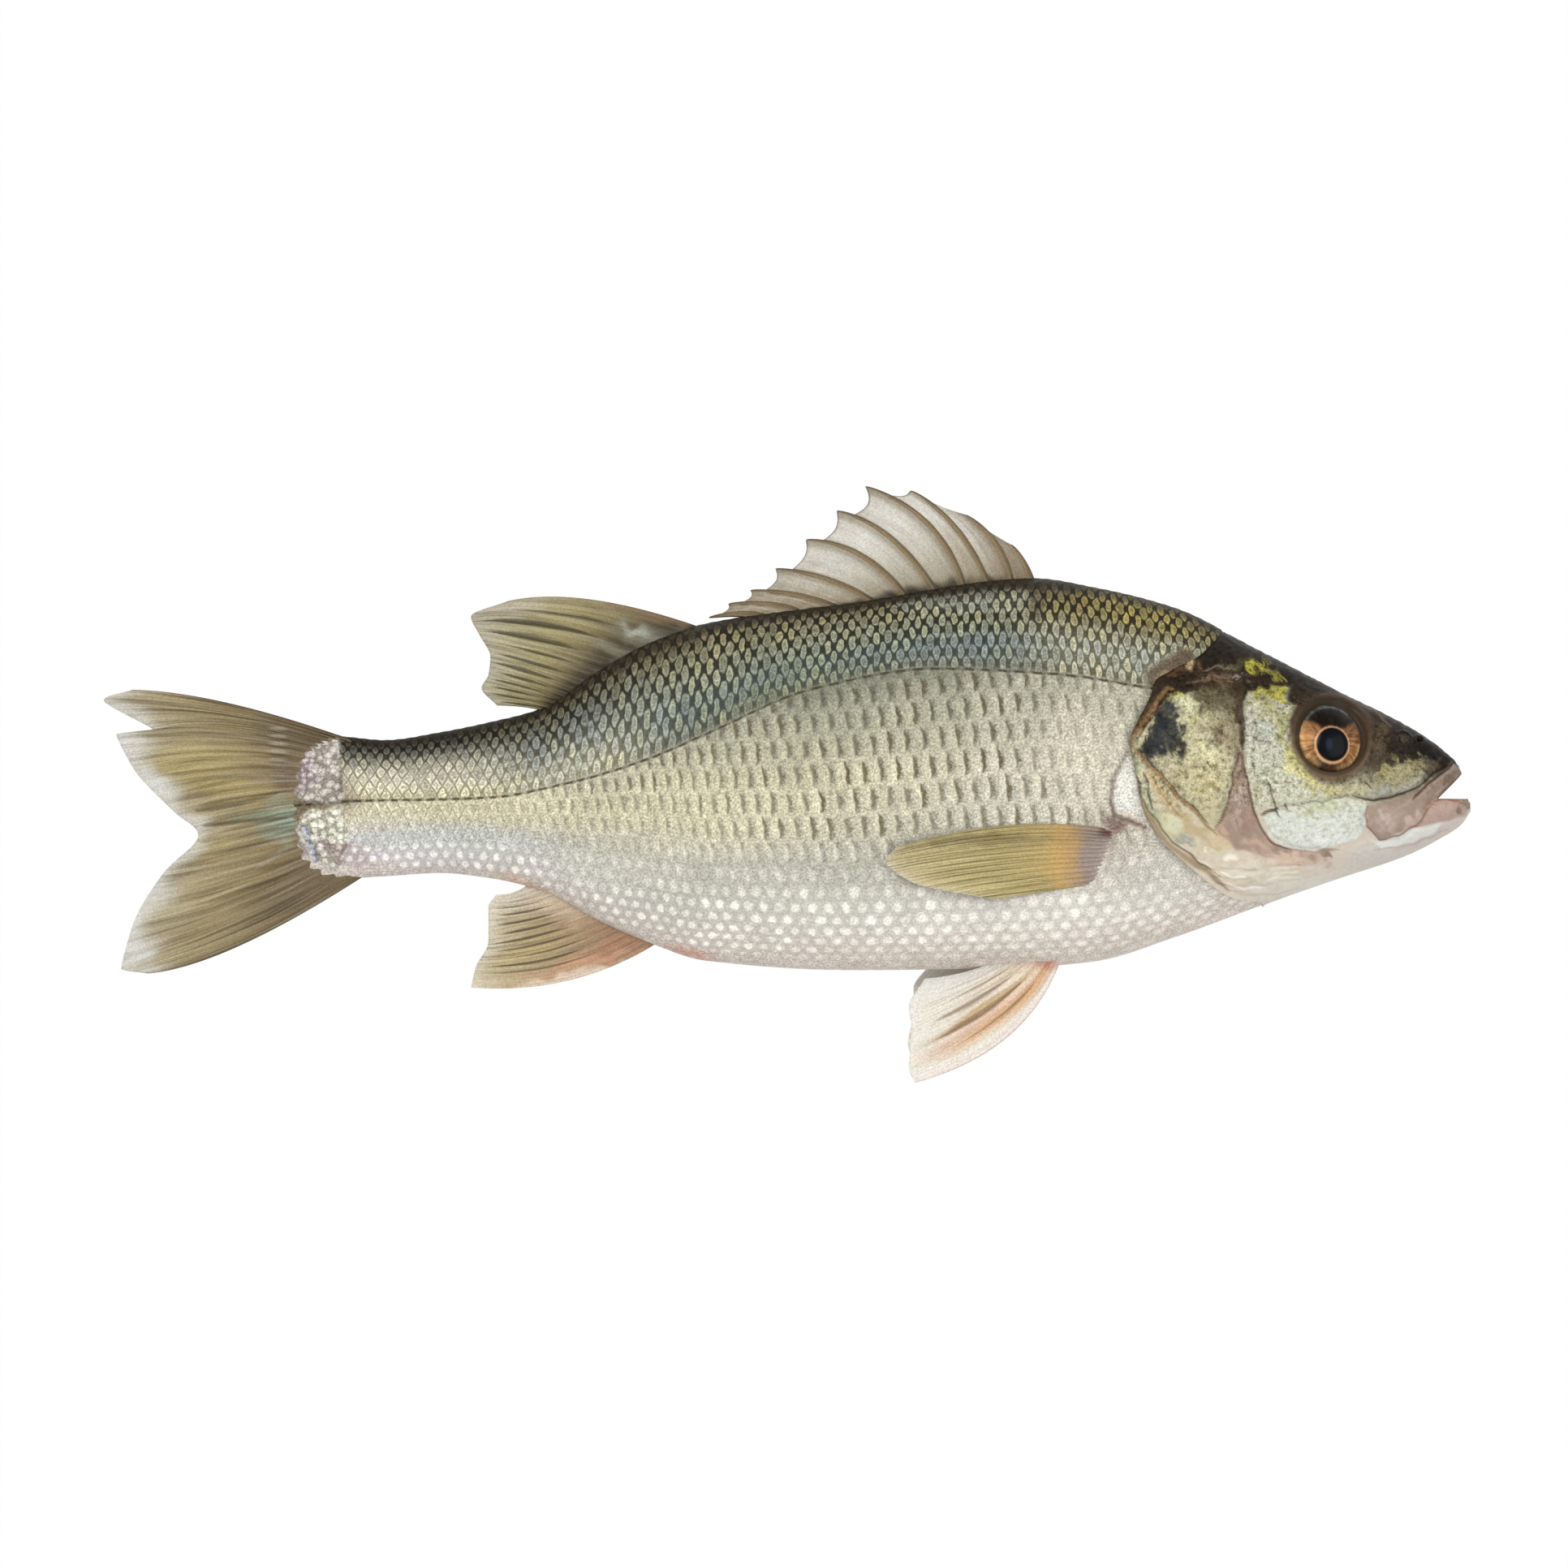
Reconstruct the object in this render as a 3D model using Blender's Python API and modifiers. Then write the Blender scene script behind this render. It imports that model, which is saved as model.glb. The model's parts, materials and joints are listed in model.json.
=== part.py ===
"""A whole raw fish of the bass kind, lying on its left side, with its right side up.

The head is at +X, the back at +Y, and the fish rests on a small flat spot of its left flank at Z 0.
The origin is on the floor under the middle of its outline.
"""

import math

import bmesh
import bpy
import numpy as np
from mathutils import Matrix, Vector

# Driving dimensions, in millimetres. Blender's metres come in at the very end, through MM.
MM = 0.001
TOTAL_LENGTH = 280.0
HALF_LENGTH = TOTAL_LENGTH / 2
WIDEST_HALF = 19.4
FLAT_DEPTH = 1.0
MIDPLANE_HEIGHT = WIDEST_HALF - FLAT_DEPTH

# A dead fish sags where nothing carries it: the tail towards the floor, and the snout a little.
TAIL_SAG = 15.5
TAIL_SAG_FROM = 42.0
SNOUT_SAG = 3.0
SNOUT_SAG_FROM = 60.0

BODY_SIDES = 40
BODY_RINGS = 44
SKIN_OVERLAP = 4.5

# Stations of the body: distance along X, back, belly and half the thickness.
BODY_STATIONS = (
    (-101.0, 2.4, -12.6, 0.5),
    (-98.4, 8.0, -17.2, 1.6),
    (-92.0, 9.8, -19.4, 3.4),
    (-81.7, 9.0, -18.9, 5.1),
    (-70.2, 10.6, -18.2, 6.2),
    (-60.3, 12.6, -19.2, 7.1),
    (-49.1, 15.6, -21.9, 8.5),
    (-38.9, 22.6, -27.4, 10.0),
    (-27.4, 29.0, -32.4, 11.8),
    (-16.0, 32.7, -36.0, 13.7),
    (13.8, 36.9, -37.9, 17.3),
    (50.9, 41.9, -37.2, 19.3),
    (63.3, 40.0, -36.1, WIDEST_HALF),
    (79.8, 35.8, -31.1, 18.0),
    (96.2, 27.5, -25.1, 15.9),
    (112.7, 19.0, -19.4, 13.1),
    (127.6, 11.5, -14.3, 9.4),
    (134.0, 7.2, -11.0, 6.6),
    (138.2, 2.6, -8.2, 4.4),
    (HALF_LENGTH, -4.0, -5.6, 0.9),
)

# Each ray is a root, a middle and a tip in the plane of the fin, as (x, y).
SPINY_DORSAL_RAYS = (
    ((50.4, 40.5), (48.8, 45.0), (46.2, 48.8)),
    ((46.6, 40.4), (43.0, 49.0), (36.8, 54.9)),
    ((42.0, 39.9), (35.0, 52.0), (25.8, 59.8)),
    ((37.0, 39.2), (29.6, 52.6), (16.5, 60.7)),
    ((31.4, 38.5), (21.8, 50.0), (10.7, 55.7)),
    ((25.2, 37.9), (15.6, 46.6), (4.4, 49.8)),
    ((18.4, 37.0), (9.0, 41.6), (-1.8, 43.9)),
    ((10.6, 36.0), (2.6, 38.4), (-6.9, 39.5)),
    ((3.2, 35.0), (-3.4, 36.6), (-11.4, 36.7)),
    ((-4.0, 34.0), (-9.4, 34.6), (-15.4, 33.9)),
)
SOFT_DORSAL_RAYS = (
    ((-16.6, 31.8), (-39.0, 37.6), (-56.4, 37.4)),
    ((-19.4, 31.0), (-42.6, 36.4), (-64.0, 34.2)),
    ((-24.6, 29.4), (-43.6, 32.8), (-62.2, 30.4)),
    ((-31.4, 26.4), (-46.4, 28.4), (-60.0, 26.0)),
    ((-38.0, 22.2), (-49.4, 23.2), (-60.4, 22.4)),
    ((-44.0, 17.8), (-53.0, 18.6), (-61.8, 19.6)),
    ((-48.4, 14.6), (-52.6, 15.6), (-58.6, 16.0)),
)
TAIL_RAYS = (
    ((-86.0, 8.2), (-113.0, 16.4), (-134.0, 19.4)),
    ((-88.0, 8.0), (-114.0, 14.8), (-140.0, 17.2)),
    ((-91.0, 7.4), (-112.0, 12.2), (-129.8, 11.2)),
    ((-92.4, 6.0), (-113.0, 10.2), (-137.4, 10.2)),
    ((-93.0, 3.0), (-112.0, 5.2), (-133.4, 2.6)),
    ((-93.2, -1.0), (-109.0, -2.4), (-125.4, -5.6)),
    ((-93.2, -5.0), (-107.0, -7.6), (-120.3, -10.6)),
    ((-93.0, -9.6), (-109.0, -14.6), (-127.6, -18.4)),
    ((-92.0, -13.8), (-110.0, -21.8), (-133.8, -28.6)),
    ((-89.0, -16.6), (-110.0, -28.2), (-136.4, -37.9)),
    ((-84.0, -17.6), (-111.0, -32.9), (-130.8, -39.0)),
)
ANAL_RAYS = (
    ((-25.8, -32.4), (-44.0, -40.1), (-64.0, -41.6)),
    ((-32.0, -29.4), (-47.0, -35.4), (-63.0, -37.4)),
    ((-38.0, -26.0), (-49.6, -29.8), (-60.4, -32.0)),
    ((-44.4, -22.0), (-52.6, -24.6), (-60.4, -25.4)),
    ((-50.0, -18.4), (-54.0, -21.6), (-58.8, -22.6)),
)
PELVIC_RAYS = (
    ((56.2, -35.6), (45.4, -51.4), (26.6, -60.8)),
    ((54.0, -35.0), (43.6, -46.6), (25.4, -57.4)),
    ((51.6, -34.6), (40.6, -42.8), (26.0, -50.4)),
    ((49.0, -34.2), (38.6, -40.0), (25.4, -45.4)),
    ((46.0, -34.2), (38.0, -37.8), (28.6, -39.6)),
)
PECTORAL_RAYS = (
    ((67.6, -9.4), (46.0, -8.2), (22.6, -12.6)),
    ((67.0, -12.0), (44.4, -12.0), (20.5, -15.5)),
    ((65.6, -15.6), (44.0, -17.0), (25.8, -19.8)),
    ((63.0, -20.0), (52.0, -21.8), (41.6, -23.2)),
)

# Thickness of each fin at its root and at its margin, and how far the webs thin between the rays.
FIN_ROOT_THICKNESS = 2.2
FIN_EDGE_THICKNESS = 0.8
WEB_SHARE = 0.55
SPINE_WEB_TOP = 0.87
WEB_HOLLOW = 0.4

# The lower pelvic fin is folded back a little more, so that its tip shows past the upper one.
PELVIC_OFFSET = 4.2
PELVIC_FOLD_DEG = -6.0
PELVIC_LOWER_SHARE = 0.93
PECTORAL_SUNK = 0.5
PECTORAL_SPLAY = 2.3

# The gill cover's free edge from its top to the throat, then forward under the head and over the cheek.
GILL_COVER_OUTLINE = (
    (78.6, 19.0),
    (73.4, 14.2),
    (70.0, 8.4),
    (70.2, 1.6),
    (72.8, -7.6),
    (79.0, -15.0),
    (85.4, -19.4),
    (91.2, -22.2),
    (98.0, -22.6),
    (105.0, -19.6),
    (101.6, -13.8),
    (95.6, -8.0),
    (93.0, 4.0),
    (92.6, 16.4),
)
GILL_COVER_RAISE = 1.0
UPPER_JAW_OUTLINE = (
    (137.0, 1.4),
    (132.0, -1.6),
    (127.0, -9.0),
    (121.6, -11.4),
    (118.0, -9.8),
    (118.4, -5.6),
    (124.0, -3.2),
    (131.6, 2.6),
    (134.6, 5.4),
)
UPPER_JAW_RAISE = 0.55

MOUTH_CUT = ((132.8, -3.0), (138.4, 2.4), (146.0, 9.6), (146.0, -3.1))

EYE_CENTRE = (111.3, 7.6)
EYE_RADIUS = 6.9
EYE_HALF_DEPTH = 4.6
EYE_SUNK = 3.2
EYE_GAP = 0.3
EYE_SIDES = 20
EYE_RINGS = 10

SKIN_COLOUR = (0.46, 0.44, 0.35, 1.0)
EYE_COLOUR = (0.10, 0.065, 0.035, 1.0)


def smooth_curve(xs, ys):
    """A curve through the given points that never overshoots them, as a function of x."""
    xs = np.asarray(xs, float)
    ys = np.asarray(ys, float)
    step = np.diff(xs)
    slope = np.diff(ys) / step
    tangent = np.zeros(len(xs))
    tangent[0] = slope[0]
    tangent[-1] = slope[-1]
    for i in range(1, len(xs) - 1):
        if slope[i - 1] * slope[i] > 0:
            near = 2 * step[i] + step[i - 1]
            far = step[i] + 2 * step[i - 1]
            tangent[i] = (near + far) / (near / slope[i - 1] + far / slope[i])

    def value(x):
        x = min(max(float(x), xs[0]), xs[-1])
        i = int(min(np.searchsorted(xs, x, side="right") - 1, len(xs) - 2))
        t = (x - xs[i]) / step[i]
        return (
            (1 + 2 * t) * (1 - t) ** 2 * ys[i]
            + t * (1 - t) ** 2 * step[i] * tangent[i]
            + t * t * (3 - 2 * t) * ys[i + 1]
            + t * t * (t - 1) * step[i] * tangent[i + 1]
        )

    return value


STATION_X = [row[0] for row in BODY_STATIONS]
back_line = smooth_curve(STATION_X, [row[1] for row in BODY_STATIONS])
belly_line = smooth_curve(STATION_X, [row[2] for row in BODY_STATIONS])
half_thickness = smooth_curve(STATION_X, [row[3] for row in BODY_STATIONS])


def smooth_step(low, high, x):
    t = min(max((x - low) / (high - low), 0.0), 1.0)
    return t * t * (3 - 2 * t)


def midplane(x):
    """Height of the fish's own middle plane over the floor."""
    tail = max(0.0, (TAIL_SAG_FROM - x) / (TAIL_SAG_FROM + HALF_LENGTH))
    snout = max(0.0, (x - SNOUT_SAG_FROM) / (HALF_LENGTH - SNOUT_SAG_FROM))
    return MIDPLANE_HEIGHT - TAIL_SAG * tail**2 - SNOUT_SAG * snout**2


def section(x, raised=0.0):
    """Widest level, height above it, depth below it, half the thickness, and the two roundness powers."""
    back = back_line(x) + raised
    belly = belly_line(x) - raised
    widest = belly + 0.5 * (back - belly)
    head = smooth_step(60.0, 110.0, x)
    return widest, back - widest, widest - belly, half_thickness(x) + raised, 1.12 - 0.3 * head, 0.88 + 0.2 * head


def skin_point(x, angle, raised=0.0):
    """A point of the skin: angle 0 on the upper flank, 90 degrees on the back, 180 on the lower flank."""
    widest, up, down, half, power_up, power_down = section(x, raised)
    level = math.sin(angle)
    side = math.cos(angle)
    power = power_up if level > 0 else power_down
    y = widest + (up if level > 0 else down) * level
    return x, y, midplane(x) + math.copysign(half * abs(side) ** power, side)


def flank_rise(x, y):
    """Distance from the middle plane out to the skin, at a point of the side view."""
    widest, up, down, half, power_up, power_down = section(x)
    level = min(1.0, abs(y - widest) / (up if y > widest else down))
    power = power_up if y > widest else power_down
    return half * math.sqrt(1 - level * level) ** power


def new_object(name, mesh, collection):
    obj = bpy.data.objects.new(name, mesh)
    collection.objects.link(obj)
    return obj


def mesh_from(bm, name):
    mesh = bpy.data.meshes.new(name)
    bm.to_mesh(mesh)
    bm.free()
    return mesh


def body_x(share):
    """Spreads the rings along the body, closer together towards the snout and the tail's end."""
    first, last = STATION_X[0], STATION_X[-1]
    middle = (first + last) / 2
    swing = (last - first) / 2
    bent = 0.62 * (2 * share - 1) + 0.38 * math.sin(math.pi * (share - 0.5))
    return middle + swing * bent


def body_shape(name, collection, raised=0.0):
    """The body from a sphere whose rings are moved to the stations, its poles at the tail's root and the jaw."""
    bm = bmesh.new()
    bmesh.ops.create_uvsphere(bm, u_segments=BODY_SIDES, v_segments=BODY_RINGS, radius=1.0)
    for vert in bm.verts:
        share = math.acos(max(-1.0, min(1.0, -vert.co.z))) / math.pi
        at_pole = math.hypot(vert.co.x, vert.co.y) < 1e-5
        x = body_x(share)
        if at_pole:
            widest = section(x)[0]
            vert.co = Vector((x, widest, midplane(x))) * MM
        else:
            angle = math.atan2(vert.co.y, vert.co.x)
            vert.co = Vector(skin_point(x, angle, raised)) * MM
    bmesh.ops.recalc_face_normals(bm, faces=bm.faces)
    return new_object(name, mesh_from(bm, name), collection)


def prism(name, outline, low, high, collection):
    """A flat outline drawn straight up, from one height to another."""
    curve = bpy.data.curves.new(name + "_outline", "CURVE")
    curve.dimensions = "2D"
    curve.fill_mode = "BOTH"
    curve.extrude = (high - low) / 2 * MM
    spline = curve.splines.new("POLY")
    spline.points.add(len(outline) - 1)
    for point, (x, y) in zip(spline.points, outline):
        point.co = (x * MM, y * MM, 0.0, 1.0)
    spline.use_cyclic_u = True
    drawn = new_object(name + "_outline", curve, collection)
    drawn.location.z = (high + low) / 2 * MM
    bpy.context.view_layer.update()
    evaluated = drawn.evaluated_get(bpy.context.evaluated_depsgraph_get())
    mesh = bpy.data.meshes.new_from_object(evaluated)
    bm = bmesh.new()
    bm.from_mesh(mesh)
    bmesh.ops.remove_doubles(bm, verts=bm.verts, dist=1e-6)
    bmesh.ops.recalc_face_normals(bm, faces=bm.faces)
    bm.to_mesh(mesh)
    bm.free()
    solid = new_object(name, mesh, collection)
    solid.matrix_world = drawn.matrix_world
    bpy.data.objects.remove(drawn)
    return solid


def apply_boolean(obj, operation, operand=None, collection=None):
    """Applies one Boolean with an object or with a whole collection."""
    modifier = obj.modifiers.new(operation.lower(), "BOOLEAN")
    modifier.operation = operation
    modifier.solver = "EXACT"
    if collection is None:
        modifier.object = operand
    else:
        modifier.operand_type = "COLLECTION"
        modifier.collection = collection
    bpy.context.view_layer.update()
    evaluated = obj.evaluated_get(bpy.context.evaluated_depsgraph_get())
    mesh = bpy.data.meshes.new_from_object(evaluated)
    obj.modifiers.clear()
    obj.data = mesh


def skin_plate(name, outline, raised, collection):
    """A raised plate of skin over both sides of the head: a slightly larger body inside a drawn outline."""
    plate = body_shape(name, collection, raised)
    cookie = prism(name + "_cookie", outline, -40.0, 60.0, collection)
    apply_boolean(plate, "INTERSECT", cookie)
    bpy.data.objects.remove(cookie)
    return plate


def ray_point(ray, share):
    """A point of a ray, bent through its middle point."""
    root, middle, tip = (np.array(p, float) for p in ray)
    handle = 2 * middle - (root + tip) / 2
    return (1 - share) ** 2 * root + 2 * share * (1 - share) * handle + share**2 * tip


def fan_point(rays, across, along):
    """A point of the web: across counts the rays from the first, and along runs from root to tip."""
    first = int(min(math.floor(across), len(rays) - 2))
    near = ray_point(rays[first], along)
    far = ray_point(rays[first + 1], along)
    return near + (far - near) * (across - first)


def web_top(between, scallop):
    """How far up the rays the web reaches: from a spine's tip down to just under the tip of the next."""
    return 1.0 - scallop * (between + WEB_HOLLOW * math.sin(math.pi * between))


def fin_sheet(name, rays, steps, rows, collection, height, sunk=0.0, scallop=0.0, ribs=1):
    """A fin as one thin sheet: a grid laid over its rays, thick at the root, with ribs standing on both faces."""
    columns = [i / steps for i in range((len(rays) - 1) * steps + 1)]
    bm = bmesh.new()
    bmesh.ops.create_grid(bm, x_segments=len(columns) - 1, y_segments=rows, size=1.0)
    weights = {}
    for vert in bm.verts:
        column = round((vert.co.x + 1) / 2 * (len(columns) - 1))
        row = round((vert.co.y + 1) / 2 * rows)
        across = columns[column]
        between = across - math.floor(across + 1e-9)
        along = row / rows * web_top(between, scallop)
        x, y = fan_point(rays, across, along)
        if row == 0 and sunk:
            inner = fan_point(rays, across, 0.0) - fan_point(rays, across, 0.15)
            x, y = np.array((x, y)) + inner / max(np.linalg.norm(inner), 1e-6) * sunk
        vert.co = Vector((x, y, height(x, y, along))) * MM
        on_rib = 0.5 + 0.5 * math.cos(2 * math.pi * between * ribs)
        thickness = FIN_ROOT_THICKNESS + (FIN_EDGE_THICKNESS - FIN_ROOT_THICKNESS) * along**0.5
        weights[vert.index] = thickness / FIN_ROOT_THICKNESS * (WEB_SHARE + (1 - WEB_SHARE) * on_rib)
    sheet = new_object(name, mesh_from(bm, name), collection)
    group = sheet.vertex_groups.new(name="thickness")
    for index, weight in weights.items():
        group.add([index], min(1.0, weight), "REPLACE")
    solidify = sheet.modifiers.new("thickness", "SOLIDIFY")
    solidify.thickness = FIN_ROOT_THICKNESS * MM
    solidify.offset = 0.0
    solidify.vertex_group = group.name
    solidify.use_even_offset = False
    bpy.context.view_layer.update()
    evaluated = sheet.evaluated_get(bpy.context.evaluated_depsgraph_get())
    sheet.data = bpy.data.meshes.new_from_object(evaluated)
    sheet.modifiers.clear()
    bm = bmesh.new()
    bm.from_mesh(sheet.data)
    bmesh.ops.triangulate(bm, faces=bm.faces)
    bmesh.ops.recalc_face_normals(bm, faces=bm.faces)
    bm.to_mesh(sheet.data)
    bm.free()
    return sheet


def turned(rays, pivot, degrees, share):
    """The same rays, turned about a point of the side view and drawn towards it."""
    turn = Matrix.Rotation(math.radians(degrees), 2) * share
    return tuple(
        tuple(tuple(turn @ Vector((x - pivot[0], y - pivot[1])) + Vector(pivot)) for x, y in ray)
        for ray in rays
    )


def in_midplane(x, y, along):
    return midplane(x) - 0.9 * along**2


def pelvic_height(side):
    """The paired fins start on either side of the belly and both hang towards the floor."""
    hang = 3.4 if side > 0 else 5.6

    def height(x, y, along):
        return midplane(x) + side * PELVIC_OFFSET - hang * along**1.5

    return height


def upper_pectoral_height(x, y, along):
    return midplane(x) + flank_rise(x, y) - PECTORAL_SUNK + PECTORAL_SPLAY * along**1.5


def lower_pectoral_height(x, y, along):
    """The lower fin is pressed flat between the flank and the floor."""
    pressed = midplane(x) - flank_rise(x, y) + PECTORAL_SUNK - PECTORAL_SPLAY * along**1.5
    return max(pressed, FIN_EDGE_THICKNESS)


def build_fins(collection):
    spiny = {"sunk": SKIN_OVERLAP, "scallop": 1 - SPINE_WEB_TOP}
    fin_sheet("spiny_dorsal", SPINY_DORSAL_RAYS, 4, 5, collection, in_midplane, **spiny)
    fin_sheet("soft_dorsal", SOFT_DORSAL_RAYS, 4, 5, collection, in_midplane, SKIN_OVERLAP, ribs=2)
    fin_sheet("tail_fin", TAIL_RAYS, 4, 6, collection, in_midplane, 1.0, ribs=2)
    fin_sheet("anal_fin", ANAL_RAYS, 4, 5, collection, in_midplane, SKIN_OVERLAP, ribs=2)
    fin_sheet("pelvic_upper", PELVIC_RAYS, 4, 5, collection, pelvic_height(1), 2.0, ribs=2)
    folded = turned(PELVIC_RAYS, PELVIC_RAYS[1][0], PELVIC_FOLD_DEG, PELVIC_LOWER_SHARE)
    fin_sheet("pelvic_lower", folded, 4, 5, collection, pelvic_height(-1), 2.0, ribs=2)
    fin_sheet("pectoral_upper", PECTORAL_RAYS, 4, 6, collection, upper_pectoral_height, ribs=2)
    fin_sheet("pectoral_lower", PECTORAL_RAYS, 4, 6, collection, lower_pectoral_height, ribs=2)


def eye_matrix(side):
    """Sets an eye into the side of the head, looking along the skin's own normal."""
    x, y = EYE_CENTRE
    reach = 2.0
    ahead = (flank_rise(x + reach, y) - flank_rise(x - reach, y)) / (2 * reach)
    above = (flank_rise(x, y + reach) - flank_rise(x, y - reach)) / (2 * reach)
    normal = Vector((-ahead, -above, side)).normalized()
    centre = Vector((x, y, midplane(x) + side * flank_rise(x, y))) - normal * EYE_SUNK
    turn = normal.to_track_quat("Z", "Y").to_matrix().to_4x4()
    return Matrix.Translation(centre * MM) @ turn


def eye_shape(name, side, radius, half_depth, collection):
    bm = bmesh.new()
    bmesh.ops.create_uvsphere(bm, u_segments=EYE_SIDES, v_segments=EYE_RINGS, radius=1.0)
    bmesh.ops.scale(bm, vec=Vector((radius, radius, half_depth)) * MM, verts=bm.verts)
    bmesh.ops.transform(bm, matrix=eye_matrix(side), verts=bm.verts)
    bmesh.ops.recalc_face_normals(bm, faces=bm.faces)
    return new_object(name, mesh_from(bm, name), collection)


def build_cutters(collection):
    """The eye sockets, the open mouth and the floor, which leaves the flat spot that the fish rests on."""
    for side, name in ((1, "socket_upper"), (-1, "socket_lower")):
        eye_shape(name, side, EYE_RADIUS + EYE_GAP, EYE_HALF_DEPTH + EYE_GAP, collection)
    prism("mouth_cut", MOUTH_CUT, -40.0, 60.0, collection)
    bm = bmesh.new()
    bmesh.ops.create_cube(bm, size=1.0)
    bmesh.ops.scale(bm, vec=Vector((320.0, 160.0, 30.0)) * MM, verts=bm.verts)
    bmesh.ops.translate(bm, vec=Vector((0.0, 0.0, -15.0)) * MM, verts=bm.verts)
    new_object("floor_cut", mesh_from(bm, "floor_cut"), collection)


def new_material(name, colour, roughness):
    material = bpy.data.materials.new(name)
    material.use_nodes = True
    shader = material.node_tree.nodes["Principled BSDF"]
    shader.inputs["Base Color"].default_value = colour
    shader.inputs["Roughness"].default_value = roughness
    shader.inputs["Metallic"].default_value = 0.0
    material.diffuse_color = colour
    return material


def empty_collection(collection):
    for obj in list(collection.objects):
        bpy.data.objects.remove(obj)
    bpy.data.collections.remove(collection)


def shade(obj, material):
    obj.data.materials.clear()
    obj.data.materials.append(material)
    obj.data.shade_smooth()
    obj.data.set_sharp_from_angle(angle=math.radians(40))


def main():
    for obj in list(bpy.data.objects):
        bpy.data.objects.remove(obj)
    root = bpy.context.scene.collection
    whole = bpy.data.collections.new("whole_fish")
    joined = bpy.data.collections.new("joined_pieces")
    cut = bpy.data.collections.new("cutters")
    for collection in (whole, joined, cut):
        root.children.link(collection)

    fish = body_shape("fish", whole)
    skin_plate("gill_covers", GILL_COVER_OUTLINE, GILL_COVER_RAISE, joined)
    skin_plate("upper_jaw", UPPER_JAW_OUTLINE, UPPER_JAW_RAISE, joined)
    build_fins(joined)
    apply_boolean(fish, "UNION", collection=joined)
    empty_collection(joined)

    build_cutters(cut)
    apply_boolean(fish, "DIFFERENCE", collection=cut)
    empty_collection(cut)

    shade(fish, new_material("fish_skin", SKIN_COLOUR, 0.35))
    eye_material = new_material("fish_eye", EYE_COLOUR, 0.08)
    for side, name in ((1, "eye_right"), (-1, "eye_left")):
        shade(eye_shape(name, side, EYE_RADIUS, EYE_HALF_DEPTH, whole), eye_material)


main()
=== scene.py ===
import functools
import json
import math

import bpy
import numpy as np
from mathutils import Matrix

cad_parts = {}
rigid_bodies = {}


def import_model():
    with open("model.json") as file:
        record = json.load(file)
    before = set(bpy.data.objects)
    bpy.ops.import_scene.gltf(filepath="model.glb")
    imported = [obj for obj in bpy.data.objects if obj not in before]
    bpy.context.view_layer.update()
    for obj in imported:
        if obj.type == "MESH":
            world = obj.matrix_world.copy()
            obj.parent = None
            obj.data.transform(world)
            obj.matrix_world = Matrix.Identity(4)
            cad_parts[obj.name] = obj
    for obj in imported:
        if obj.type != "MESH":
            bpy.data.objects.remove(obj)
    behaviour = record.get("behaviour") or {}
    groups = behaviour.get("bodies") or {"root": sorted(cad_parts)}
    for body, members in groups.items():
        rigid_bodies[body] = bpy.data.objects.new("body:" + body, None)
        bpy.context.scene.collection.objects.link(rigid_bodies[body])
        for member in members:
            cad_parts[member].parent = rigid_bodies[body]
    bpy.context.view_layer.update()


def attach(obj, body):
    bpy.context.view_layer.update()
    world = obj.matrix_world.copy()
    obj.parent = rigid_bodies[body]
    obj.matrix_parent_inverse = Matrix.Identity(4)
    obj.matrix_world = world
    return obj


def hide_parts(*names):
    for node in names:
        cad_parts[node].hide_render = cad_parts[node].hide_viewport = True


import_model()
mm = 0.001

# places measured in the photograph are pixels of its 1932 x 1932 frame
pixel = 0.1648  # mm of the fish
photoMiddle = 966.0
floorGap = 0.02  # mm, nothing goes lower


def onFish(points):
    points = np.asarray(points, float)
    return np.stack([(points[..., 0] - photoMiddle) * pixel, (photoMiddle - points[..., 1]) * pixel], -1)


def inPhoto(x, y):
    return x / pixel + photoMiddle, photoMiddle - y / pixel


def smoothStep(low, high, x):
    t = np.clip((np.asarray(x, float) - low) / (high - low), 0, 1)
    return t * t * (3 - 2 * t)


def hill(value, middle, width):
    return np.exp(-(((value - middle) / width) ** 2))


def smoothCurve(xs, ys):
    # a curve through the points that never overshoots them
    xs, ys = np.asarray(xs, float), np.asarray(ys, float)
    step = np.diff(xs)
    slope = np.diff(ys) / step
    tangent = np.zeros(len(xs))
    tangent[0], tangent[-1] = slope[0], slope[-1]
    for i in range(1, len(xs) - 1):
        if slope[i - 1] * slope[i] > 0:
            near, far = 2 * step[i] + step[i - 1], step[i] + 2 * step[i - 1]
            tangent[i] = (near + far) / (near / slope[i - 1] + far / slope[i])

    def value(x):
        x = np.clip(x, xs[0], xs[-1])
        i = np.clip(np.searchsorted(xs, x, side="right") - 1, 0, len(xs) - 2)
        t = (x - xs[i]) / step[i]
        return (
            (1 + 2 * t) * (1 - t) ** 2 * ys[i]
            + t * (1 - t) ** 2 * step[i] * tangent[i]
            + t * t * (3 - 2 * t) * ys[i + 1]
            + t * t * (t - 1) * step[i] * tangent[i + 1]
        )

    return value


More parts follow.
